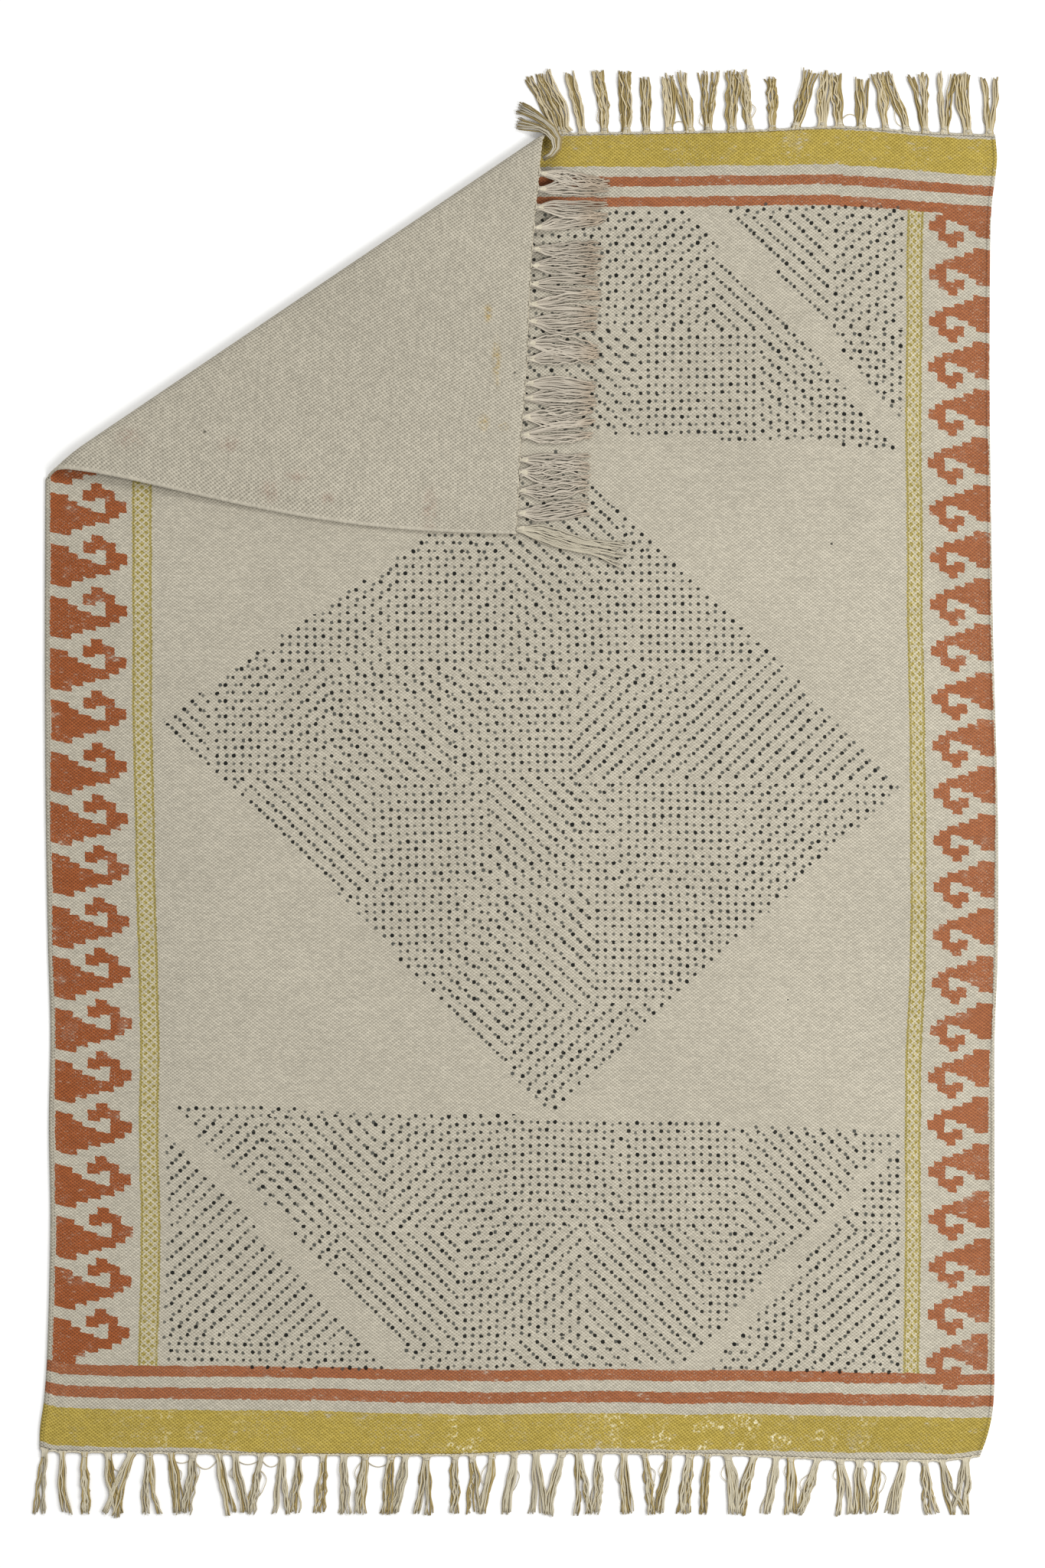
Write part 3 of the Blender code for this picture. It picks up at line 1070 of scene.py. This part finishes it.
def chart(value, stops):
    """A colour ramp of flat steps: a list of places from 0 to 1, each with a colour."""
    node = value.tree.nodes.new("ShaderNodeValToRGB")
    ramp = node.color_ramp
    ramp.interpolation = "CONSTANT"
    while len(ramp.elements) < len(stops):
        ramp.elements.new(0.5)
    for element, (place, colour) in zip(ramp.elements, stops):
        element.position = place
        element.color = colour
    plug(value, node.inputs[0])
    return Wire(node.outputs[0]), Wire(node.outputs[1])


def between(value, low, high):
    return (value > low) * (value < high)


def hook_group():
    """A column of hooks.  Reach runs inwards from the feet, Along runs up the column."""
    takes = {"Reach": "f", "Along": "f", "Pitch": "f", "Squash": "f"}
    tree, take, leave = group("hooks", takes, {"Ink": "f"})
    # The feet of one hook reach down past the curl of the next, so a cell's bounds shift beyond them.
    lean = take["Reach"] * HOOK_SLOPE + take["Along"]
    beyond = take["Reach"] > FOOT_REACH
    lean = lean - (beyond * (CURL_MIDDLE - FOOT_MIDDLE) + FOOT_MIDDLE)
    count = calc("FLOOR", lean / take["Pitch"] + 0.5)
    own = chance(join(count, 5.0), out=1)
    nudge_x, nudge_y, _ = split(jitter_of(own))
    level = (take["Along"] - count * take["Pitch"]) / take["Squash"]
    reach = nudge_x * HOOK_SLIP + take["Reach"]
    level = reach * HOOK_SLOPE + (nudge_y * HOOK_SLIP + level)

    def as_share(height):
        return (height + HOOK_HALF) / (2 * HOOK_HALF)

    stops = []
    for row in HOOK:
        shares = [as_share(height) for height in row[1:]]
        stops.append((row.reach / 1000 / HOOK_CHART, shares))
    colour, curl_to = chart(reach / HOOK_CHART, stops)
    base_from, base_to, curl_from = split(colour)
    share = level * (1000 / (2 * HOOK_HALF)) + 0.5
    foot = between(share, base_from, base_to)
    curl = between(share, curl_from, curl_to)
    ink = calc("MAXIMUM", foot, curl) * (reach > 0.0)
    send(leave, Ink=ink)
    return tree


def trellis_group():
    """A narrow band: an edge line each side, and a lattice of small diamonds between them."""
    takes = {"Across": "f", "Along": "f", "Width": "f", "Pitch": "f"}
    tree, take, leave = group("trellis", takes, {"Ink": "f", "Tint": "f"})
    half = take["Width"] * 0.5
    off = abs(take["Across"])
    line = abs(off - half) < 0.0015
    inside = off < half
    across = take["Across"] / take["Width"]
    along = take["Along"] / take["Pitch"]
    rising = abs(calc("FRACT", across * 2.0 + along) - 0.5)
    falling = abs(calc("FRACT", across * 2.0 - along) - 0.5)
    furthest = calc("MAXIMUM", rising, falling)
    dot = furthest < 0.29
    bar = furthest > 0.4
    ink = calc("MAXIMUM", line, dot * inside)
    tint = inside * (1.0 - bar * 0.75)
    send(leave, Ink=ink, Tint=tint)
    return tree


def figures_group():
    """1 inside any dotted figure.  Each is convex, so it is the overlap of its edges' half planes."""
    tree, take, leave = group("dotted figures", {"Place": "v"}, {"Inside": "f"})
    anywhere = None
    for corners in FIGURES.values():
        inside = None
        middle = Vector((0.0, 0.0))
        for corner in corners:
            middle += Vector(corner) / len(corners)
        for index, corner in enumerate(corners):
            start, end = Vector(corner), Vector(corners[(index + 1) % len(corners)])
            inward = Vector((start.y - end.y, end.x - start.x)).normalized()
            if (middle - start).dot(inward) < 0:
                inward = -inward
            depth = vec("DOT_PRODUCT", take["Place"], inward.to_3d())
            side = depth > start.dot(inward)
            inside = side if inside is None else inside * side
        anywhere = inside if anywhere is None else calc("MAXIMUM", anywhere, inside)
    send(leave, Inside=anywhere)
    return tree


def dots_group(figures):
    """Dots stamped a block at a time: a staggered lattice that slips and turns from block to block."""
    tree, take, leave = group(
        "stamped dots",
        {"Place": "v", "Seed": "f", "Shift": "f", "Slip": "f", "Turn": "f", "Radius": "f", "Margin": "f"},
        {"Ink": "f", "Own": "f"},
    )
    place = take["Place"]
    bx, by, _ = split(vec("DIVIDE", place, BLOCK))
    row = calc("FLOOR", by)
    drift = chance(join(row, take["Seed"], 1.0)) * 0.7
    bx = bx + drift
    column = calc("FLOOR", bx)
    own = chance(join(column, row, take["Seed"]), out=1)
    aside, handed, angle = split(jitter_of(own))
    aside = aside * take["Slip"]
    # A block slips along one of the lattice's two diagonals, so its dots never land on the others.
    slip = join(aside + take["Shift"], aside * calc("SIGN", handed))
    middle_x = column + 0.5 - drift
    middle = vec("MULTIPLY", join(middle_x, row + 0.5), BLOCK)
    turn = angle * take["Turn"]
    turned = put("VectorRotate", place, middle, (0.0, 0.0, 1.0), turn, rotation_type="Z_AXIS")
    turned = vec("MULTIPLY", vec("ADD", turned, slip), FLAT)
    lattice = vec("DIVIDE", turned, DOT_PITCH)
    found = []
    for stagger in (0.0, 0.5):
        moved = vec("ADD", lattice, (stagger, stagger, 0.0))
        whole = vec("FLOOR", moved)
        off = vec("SUBTRACT", vec("SUBTRACT", moved, whole), (0.5, 0.5, 0.0))
        off = vec("MULTIPLY", off, (DOT_PITCH[0], DOT_PITCH[1], 0.0))
        number = chance(vec("ADD", whole, (0.0, 0.0, stagger)), out=1)
        wobble = scaled(jitter_of(number), DOT_WOBBLE)
        off = vec("MULTIPLY", vec("SUBTRACT", off, wobble), FLAT)
        found.append((vec("LENGTH", off), off, split(number)[0]))
    nearer = found[0][0] < found[1][0]
    distance = calc("MINIMUM", found[0][0], found[1][0])
    number = put("Mix", nearer, None, found[1][2], found[0][2])
    off = vec("ADD", scaled(found[0][1], nearer), scaled(found[1][1], 1.0 - nearer))
    centre = vec("SUBTRACT", place, off)
    cx, cy, _ = split(vec("DIVIDE", centre, BLOCK))
    cx = cx + drift - column
    cy = cy - row
    limit = 0.5 - take["Margin"]
    whole_dot = (abs(cx - 0.5) < limit) * (abs(cy - 0.5) < limit)
    radius = take["Radius"] * (number * 0.3 + 0.84)
    rough = (cloud(place, 600.0) - 0.5) * 0.0018
    edge = distance + rough - radius
    ink = step_up(edge, 0.0003, -0.0003)
    inside = use(figures, Place=centre)["Inside"]
    ink = ink * inside * whole_dot
    send(leave, Ink=ink, Own=number)
    return tree


def wear_group():
    """How much of an ink is left: worn patches, and flecks where single floats took no ink."""
    tree, take, leave = group("worn ink", {"Place": "v", "Float": "c", "Worn": "f"}, {"Cover": "f"})
    patch = step_up(cloud(take["Place"], 26.0, 4.0, 0.65), 0.54, 0.74)
    fleck = split(take["Float"])[1]
    missed = patch * 0.35 + take["Worn"]
    bare = step_up(missed - fleck, -0.01, 0.12)
    dry = step_up(cloud(take["Place"], 12.0, 2.0), 0.4, 0.6)
    speckle = step_up(cloud(take["Place"], 480.0, 1.0), 0.6, 0.7)
    thin = calc("MAXIMUM", patch * 0.2, speckle * dry * 0.5)
    send(leave, Cover=1.0 - calc("MAXIMUM", bare * 0.55, thin))
    return tree


def selvedge_group():
    """The cord along each selvedge: a groove inside it and its turns of weft, with painted shade in the
    groove and painted light and shade across the turns.
    """
    gives = {"Shade": "f", "Height": "f", "Cord": "f"}
    tree, take, leave = group("selvedge", {"Place": "v"}, gives)
    across, along, _ = split(take["Place"])
    inwards = calc("MINIMUM", across, CLOTH_WIDTH - across)
    groove = 1.0 - step_up(abs(inwards - SELVEDGE_CORD), 0.0002, 0.0014)
    on_cord = inwards < SELVEDGE_CORD
    turns = calc("SINE", along * (FULL_TURN / SELVEDGE_TURN)) * on_cord
    # Painted shade in the groove, the cord a little darker, and painted light and shade across the turns of
    # weft.
    shade = (1.0 - groove * 0.2) * (1.0 - on_cord * 0.07) + turns * 0.05
    send(leave, Shade=shade, Height=turns * 0.5 - groove * 0.4, Cord=on_cord)
    return tree


def print_line(across, column):
    """One column of the print lines read at a place across the cloth, as a smooth curve."""
    node = across.tree.nodes.new("ShaderNodeFloatCurve")
    curve = node.mapping.curves[0]
    shares = [(row.across / 1000 / CLOTH_WIDTH, getattr(row, column) / PRINT_SCALE) for row in PRINT_LINES]
    curve.points[0].location = shares[0]
    curve.points[1].location = shares[-1]
    for share in shares[1:-1]:
        curve.points.new(*share)
    node.mapping.update()
    plug(across / CLOTH_WIDTH, node.inputs["Value"])
    return Wire(node.outputs[0]) * (PRINT_SCALE / 1000)


def stripes(inwards, line, hem, rows):
    """The inks of one end's bands, and where the field begins inside them."""
    past = inwards - line
    first = rows[0].inwards / 1000
    stops = [((row.inwards / 1000 - first) / STRIPE_CHART, STRIPE_INKS[row.ink]) for row in rows]
    colour, _ = chart((past - first) / STRIPE_CHART, stops)
    mustard, terracotta, _ = split(colour)
    return mustard * (inwards > hem), terracotta, past > rows[-1].inwards / 1000


# Inks, and each ink's painted shade in the hollows between floats.
TERRACOTTA = (0.340, 0.113, 0.039, 1)
TERRACOTTA_SHADED = (0.190, 0.060, 0.030, 1)
HEAVY = (0.325, 0.083, 0.018, 1)
HEAVY_SHADED = (0.145, 0.036, 0.010, 1)
MUSTARD = (0.455, 0.345, 0.068, 1)
MUSTARD_SHADED = (0.235, 0.160, 0.016, 1)
RUBBED = (0.80, 0.74, 0.52, 1)
TRELLIS = (0.36, 0.29, 0.07, 1)
TRELLIS_SHADED = (0.15, 0.115, 0.02, 1)
TRELLIS_TINT = (0.62, 0.53, 0.25, 1)
BLACK_DOT = (0.006, 0.007, 0.006, 1)
GREY_DOT = (0.055, 0.058, 0.050, 1)


def new_material(name, roughness):
    made = bpy.data.materials.new(name)
    made.use_nodes = True
    tree = made.node_tree
    shader = tree.nodes["Principled BSDF"]
    shader.inputs["Roughness"].default_value = roughness
    shader.inputs["Specular IOR Level"].default_value = 0.15
    shader.inputs["Sheen Weight"].default_value = 0.08
    shader.inputs["Sheen Roughness"].default_value = 0.5
    return made, tree, shader


def relief(shader, height, strength, distance):
    bump = height.tree.nodes.new("ShaderNodeBump")
    bump.inputs["Strength"].default_value = strength
    bump.inputs["Distance"].default_value = distance
    plug(height, bump.inputs["Height"])
    plug(Wire(bump.outputs[0]), shader.inputs["Normal"])


SpeckRow = namedtuple("SpeckRow", "across along radius")
# Dark specks on the printed face: millimetres.
SPECKS = [
    SpeckRow(997, 1155, 2.2),
    SpeckRow(936, 578, 1.5),
    SpeckRow(1113, 91, 1.2),
    SpeckRow(1134, 87, 1.4),
]


def printed_material(weave, cotton, wear, selvedge):
    """The printed face: bare cotton, then one ink over another, each worn in its own way."""
    made, tree, shader = new_material("printed cotton", 0.92)
    place = put("UVMap", tree=tree, uv_map="cloth")
    woven = use(weave, Place=place)
    height, own_float = woven["Height"], woven["Float"]
    ground = use(cotton, Place=place, Height=height, Float=own_float, Slub=woven["Slub"])
    rise = step_up(height, 0.0, 0.72)

    # Ink steps from float to float, and the blocks wander a little.
    jitter = jitter_of(own_float)
    printed_at = vec("ADD", place, scaled(jitter, 0.0014))
    wander = jitter_of(cloud(place, 6.0, 1.0, out=1))
    printed_at = vec("ADD", printed_at, scaled(wander, 0.005))
    across, along, _ = split(printed_at)

    # End stripes, printed in lengths that don't quite line up.
    length_slip = chance(join(calc("FLOOR", across / STRIPE_BLOCK), 9.0))
    near = along + (length_slip * STRIPE_SLIP - STRIPE_SLIP / 2)
    far = CLOTH_LENGTH - near
    line, hem = print_line(across, "near_line"), print_line(across, "near_hem")
    near_mustard, near_terracotta, past_near = stripes(near, line, hem, NEAR_STRIPES)
    past_near_by = near - line
    line, hem = print_line(across, "far_line"), print_line(across, "far_hem")
    far_mustard, far_terracotta, past_far = stripes(far, line, hem, FAR_STRIPES)
    field = past_near * past_far
    # Wear is written in hundredths, and print_line reads thousandths.
    worn = print_line(across, "wear") * 10.0
    rubbed = step_up(cloud(place, 34.0, 1.0), 0.49, 0.6) * worn
    rubbed = rubbed * step_up(cloud(place, 190.0, 3.0, 0.7), 0.5, 0.65) * near_mustard
    mustard = calc("MAXIMUM", near_mustard, far_mustard)
    terracotta = calc("MAXIMUM", near_terracotta, far_terracotta)

    # Side borders.
    hooks = hook_group()
    left_in = across - LEFT_FOOT
    left = use(hooks, Reach=left_in, Along=along - LEFT_TIP, Pitch=LEFT_PITCH, Squash=1.0)["Ink"]
    right_foot = along * RIGHT_FOOT_LEAN + (CLOTH_WIDTH - RIGHT_FOOT)
    right_in = (right_foot - across) * RIGHT_NARROWING
    down = RIGHT_TIP - along
    right = use(hooks, Reach=right_in, Along=down, Pitch=RIGHT_PITCH, Squash=RIGHT_SQUASH)["Ink"]
    # The last foot on the left runs straight down into the stripe, and no curl is begun below it.
    under = past_near_by < LAST_FOOT_RUN
    filled = between(left_in, 0.0, LAST_FOOT_REACH)
    left = put("Mix", under, None, left, filled)
    border = calc("MAXIMUM", left, right) * field
    # The last curl on the right was begun, and runs over the stripe below it.
    over = between(right_in, *BEGUN_REACH) * between(past_near_by, *BEGUN_RUN)
    terracotta = calc("MAXIMUM", terracotta, calc("MAXIMUM", border, over))

    # Trellis bands.
    trellis = trellis_group()
    bands = []
    for row in TRELLIS_BANDS:
        off = across - (along * row.lean + row.axis)
        bands.append(use(trellis, Across=off, Along=along, Width=row.width, Pitch=row.pitch))
    lattice = calc("MAXIMUM", bands[0]["Ink"], bands[1]["Ink"]) * field
    tint = calc("MAXIMUM", bands[0]["Tint"], bands[1]["Tint"]) * field

    # Dots, twice over.
    dots = dots_group(figures_group())
    dotted_at = vec("ADD", place, scaled(jitter, 0.0004))
    grey, black = [use(dots, Place=dotted_at, **row._asdict()) for row in (GREY_STAMP, BLACK_STAMP)]

    cover = use(wear, Place=place, Float=own_float, Worn=0.05)["Cover"]
    colour = ground["Color"]
    shade = ground["Shade"]
    # The left column of hooks took the most ink.
    heavy = step_up(across, 0.16, 0.11) * field
    fresh = blend(heavy, TERRACOTTA, HEAVY)
    fresh_shaded = blend(heavy, TERRACOTTA_SHADED, HEAVY_SHADED)
    # Each ink runs from its painted shade in the hollows between floats to its own colour on them; the
    # tint's darker end is the trellis ink.
    for mask, amount, low, high in (
        (tint, 0.60, TRELLIS, TRELLIS_TINT),
        (lattice, 0.90, TRELLIS_SHADED, TRELLIS),
        (mustard, 0.97, MUSTARD_SHADED, MUSTARD),
        (terracotta, 0.97, fresh_shaded, fresh),
    ):
        colour = blend(mask * cover * amount, colour, scaled(blend(rise, low, high), shade))
    # The near band is darker towards the right.
    deeper = near_mustard * step_up(across, 0.75, 1.1)
    colour = scaled(colour, 1.0 - deeper * 0.11)
    colour = blend(rubbed, colour, RUBBED)
    colour = blend(grey["Ink"] * (grey["Own"] * 0.25 + 0.7), colour, GREY_DOT)
    colour = blend(black["Ink"] * (black["Own"] * 0.08 + 0.91), colour, BLACK_DOT)
    for row in SPECKS:
        distance = flat_distance(place, row.across / 1000, row.along / 1000)
        speck = step_up(distance, row.radius / 1000, row.radius / 2000)
        colour = blend(speck * 0.85, colour, BLACK_DOT)
    cord = use(selvedge, Place=place)
    plug(scaled(colour, cord["Shade"]), shader.inputs["Base Color"])
    relief(shader, height + cord["Height"], 0.85, WEAVE_DEPTH)
    return made


StainRow = namedtuple("StainRow", "x y wide long tint")
# Faint marks and specks on the plain back of the turned corner, where they lie: millimetres.
STAINS = [
    StainRow(-42, 607, 8, 16, "ochre"),
    StainRow(-31, 545, 8, 42, "ochre"),
    StainRow(-47, 469, 10, 14, "ochre"),
    StainRow(-22, 464, 10, 7, "ochre"),
    StainRow(-495, 449, 26, 20, "rose"),
    StainRow(-369, 441, 20, 14, "rose"),
    StainRow(-318, 382, 18, 22, "rose"),
    StainRow(-284, 401, 22, 12, "rose"),
    StainRow(-245, 373, 14, 10, "rose"),
    StainRow(-116, 357, 14, 44, "rose"),
    StainRow(-400, 457, 3, 3, "speck"),
    StainRow(-8, 532, 3, 3, "speck"),
]
StainTint = namedtuple("StainTint", "colour broken")
STAIN_TINTS = {
    "ochre": StainTint((0.92, 0.74, 0.38, 1), 1.0),
    "rose": StainTint((0.86, 0.76, 0.75, 1), 1.0),
    "speck": StainTint((0.25, 0.25, 0.24, 1), 0.0),
}


def stained(colour, place, slide):
    """Tint a colour at each stain, softly and unevenly."""
    uneven = step_up(cloud(place, 160.0, 3.0, 0.7), 0.35, 0.65)
    for name, tint in STAIN_TINTS.items():
        amount = None
        for row in [row for row in STAINS if row.tint == name]:
            middle = Vector((row.x / 1000 + slide.x, row.y / 1000 + slide.y, 0.0))
            off = vec("SUBTRACT", place, middle)
            off = vec("MULTIPLY", off, (1000 / row.wide, 1000 / row.long, 0.0))
            near = step_up(vec("LENGTH", off), 1.0, 0.1)
            amount = near if amount is None else calc("MAXIMUM", amount, near)
        patchy = put("Mix", tint.broken, None, 1.0, uneven)
        amount = amount * patchy
        colour = blend(amount, colour, blend(1.0, colour, tint.colour, mode="MULTIPLY"))
    return colour


def back_material(weave, cotton, selvedge, slide):
    """The plain back, as the turned corner shows it."""
    made, tree, shader = new_material("plain back", 0.94)
    place = put("UVMap", tree=tree, uv_map="cloth")
    woven = use(weave, Place=place)
    cord = use(selvedge, Place=place)
    # Painted shade: the back darkens in the hollows between floats.
    hollow = step_up(woven["Height"], 0.05, 0.55)
    # The turned selvedge is smooth and pale from behind, so the painted hollow shade is lifted on it.
    hollow = calc("MAXIMUM", hollow, cord["Cord"] * 0.9)
    rise = calc("MAXIMUM", woven["Height"], cord["Cord"] * 0.55)
    shade = hollow * 0.16 + 0.81
    ground = use(cotton, Place=place, Height=rise, Float=woven["Float"], Slub=woven["Slub"])
    colour = stained(scaled(ground["Color"], shade), put("TexCoord", tree=tree, out=3), slide)
    plug(colour, shader.inputs["Base Color"])
    relief(shader, rise, 0.75, WEAVE_DEPTH)
    return made


def yarn_group():
    """Twisted cotton yarn on its own map: u numbers the strand and runs round it, v runs along it."""
    tree, take, leave = group(
        "twisted yarn",
        {"Strand": "v", "Place": "v", "Facing": "v", "Tint": "c", "Stain": "c", "Deep": "c", "Stained": "f"},
        {"Color": "c", "Height": "f"},
    )
    u, v, _ = split(take["Strand"])
    number = calc("FLOOR", u)
    own_tone, own_shade, own_pitch = split(chance(join(number, 2.0), out=1))
    around = calc("FRACT", u) * 2.0
    twist = v * (own_pitch * 60.0 + 240.0)
    ply = calc("SINE", (around + twist) * FULL_TURN)
    fuzz = cloud(take["Place"], 900.0, 2.0, 0.6)
    height = ply * 0.5 + fuzz * 0.6
    patch = cloud(take["Place"], 26.0, 3.0, 0.6)
    tone = own_tone * 0.55 + patch * 0.9
    stained_by = step_up(tone, 0.45, 0.95) * take["Stained"] * step_up(v, 0.006, 0.04)
    colour = blend(stained_by, take["Tint"], take["Stain"])
    # Painted shade: each strand turns to its painted-shade colour where it faces sideways and down; clean is
    # the share left unshaded.
    _, _, up = split(take["Facing"])
    clean = step_up(up, -0.1, 0.9)
    colour = blend(clean, take["Deep"], colour)
    # Painted shade in the grooves between the plies.
    groove = ply * 0.11 + 0.89
    shade = (own_shade * 0.26 + 0.8) * groove
    send(leave, Color=scaled(colour, shade), Height=height)
    return tree


YarnRow = namedtuple("YarnRow", "name tint stain deep stained")
# Each fringe yarn: its own colour, the dye that ran into it, its painted shade where it faces down between
# strands, and how much of it is stained.
RUN_DYE = (0.54, 0.41, 0.15, 1)
NEAR_LOOSE = YarnRow("fringe yarn", (0.67, 0.61, 0.455, 1), RUN_DYE, (0.33, 0.21, 0.032, 1), 0.65)
FAR_LOOSE = NEAR_LOOSE._replace(name="far fringe yarn", tint=(0.73, 0.63, 0.42, 1), stained=0.8)
DARK_DYE = (0.36, 0.23, 0.045, 1)
DYED_YARN = YarnRow("dyed fringe yarn", (0.46, 0.355, 0.15, 1), DARK_DYE, (0.26, 0.165, 0.035, 1), 0.7)
CLEAN_YARN = YarnRow("clean fringe yarn", (0.67, 0.61, 0.47, 1), RUN_DYE, (0.27, 0.21, 0.14, 1), 0.0)
TURNED_LOOSE = CLEAN_YARN._replace(name="turned fringe yarn", tint=(0.68, 0.61, 0.50, 1))
BLUSH = (0.74, 0.61, 0.49, 1)
BLUSH_FROM, BLUSH_TO = 0.060, 0.094


def yarn_material(twisted, row, tips=None):
    """Fringe yarn; tips gives the stretch of X over which the ends turn pinkish."""
    made, tree, shader = new_material(row.name, 0.94)
    strand = put("UVMap", tree=tree, uv_map="UVMap")
    place = put("TexCoord", tree=tree, out=3)
    facing = put("TexCoord", tree=tree, out=1)
    finish = {"Tint": row.tint, "Stain": row.stain, "Deep": row.deep, "Stained": row.stained}
    yarn = use(twisted, Strand=strand, Place=place, Facing=facing, **finish)
    colour = yarn["Color"]
    if tips:
        x, _, _ = split(place)
        blush = step_up(x, *tips) * 0.55
        colour = blend(blush, colour, blend(1.0, colour, BLUSH, mode="MULTIPLY"))
    plug(colour, shader.inputs["Base Color"])
    relief(shader, yarn["Height"], 0.45, 0.0003)
    return made


# ---------------------------------------------------------------- studio
FRAME_HEIGHT = 1.9866
CAMERA_HEIGHT = 7.0
CAMERA_OVER = Vector((0.0019, 0.0116, 0.0))
FLOOR_DROP = 0.0004
PANEL_PLACE = Vector((2.4, -0.2, 2.7))


def studio(slide):
    """A camera straight above, a pale floor, an even room, a window and a soft panel."""
    view = bpy.context.scene.view_settings
    view.view_transform = "Standard"
    view.look = "None"
    lens = bpy.data.cameras.new("camera")
    lens.sensor_width = 36.0
    lens.lens = lens.sensor_width * CAMERA_HEIGHT / FRAME_HEIGHT
    lens.clip_end = 50.0
    camera = put_in_scene("camera", lens)
    camera.location = CAMERA_OVER + Vector((slide.x, slide.y, CAMERA_HEIGHT))
    bpy.context.scene.camera = camera

    mesh = bmesh.new()
    bmesh.ops.create_grid(mesh, x_segments=1, y_segments=1, size=6.0)
    data = bpy.data.meshes.new("floor")
    mesh.to_mesh(data)
    mesh.free()
    floor = put_in_scene("floor", data)
    floor.location.z = -FLOOR_DROP
    pale = bpy.data.materials.new("pale floor")
    pale.use_nodes = True
    finish = pale.node_tree.nodes["Principled BSDF"].inputs
    finish["Base Color"].default_value = (0.93, 0.93, 0.92, 1)
    finish["Roughness"].default_value = 0.9
    finish["Emission Color"].default_value = (1, 1, 1, 1)
    finish["Emission Strength"].default_value = 0.09
    data.materials.append(pale)

    world = bpy.data.worlds.new("soft room")
    bpy.context.scene.world = world
    world.use_nodes = True
    air = world.node_tree.nodes["Background"].inputs
    air["Color"].default_value = (1.0, 1.0, 1.0, 1)
    air["Strength"].default_value = 0.50
    window = light("window", "SUN", 1.0)
    window.data.angle = math.radians(20)
    window.rotation_euler = (math.radians(-38), math.radians(22), 0)
    panel = light("soft panel", "AREA", 90.0)
    panel.data.size = 1.6
    panel.location = PANEL_PLACE
    panel.rotation_euler = (-PANEL_PLACE).to_track_quat("-Z", "Y").to_euler()


def light(name, kind, power):
    lamp = bpy.data.lights.new(name, kind)
    lamp.energy = power
    return put_in_scene(name, lamp)


def middle_slide(cloth):
    """How far the cloth's own middle is from the middle of the plain solid that it stands for."""
    low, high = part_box("rug")
    xs = [vert.co.x for vert in cloth.data.vertices]
    ys = [vert.co.y for vert in cloth.data.vertices]
    x = (low[0] + high[0] - min(xs) - max(xs)) / 2
    y = (low[1] + high[1] - min(ys) - max(ys)) / 2
    return Vector((x, y, 0))


def main():
    weave = weave_group()
    cotton = cotton_group()
    wear = wear_group()
    selvedge = selvedge_group()
    cloth = build_cloth()
    slide = middle_slide(cloth)
    cloth.data.materials.append(printed_material(weave, cotton, wear, selvedge))
    cloth.data.materials.append(back_material(weave, cotton, selvedge, slide))
    twisted = yarn_group()
    loose, far_loose, dyed, clean = [
        yarn_material(twisted, row) for row in (NEAR_LOOSE, FAR_LOOSE, DYED_YARN, CLEAN_YARN)
    ]
    laid = yarn_material(twisted, TURNED_LOOSE, (BLUSH_FROM + slide.x, BLUSH_TO + slide.x))
    near_fringe = build_near_fringe([loose, dyed, clean])
    far_fringe = build_far_fringe([far_loose, dyed, clean])
    turned_fringe = build_turned_fringe([laid, dyed, clean])
    for piece in (cloth, near_fringe, far_fringe, turned_fringe):
        piece.data.transform(Matrix.Translation(slide))
    for piece, node in (
        (near_fringe, "fringe_near"),
        (far_fringe, "fringe_far"),
        (turned_fringe, "fringe_turned"),
    ):
        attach(piece, "root")
        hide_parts(node)
    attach(cloth, "root")
    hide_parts("rug")
    studio(slide)


main()
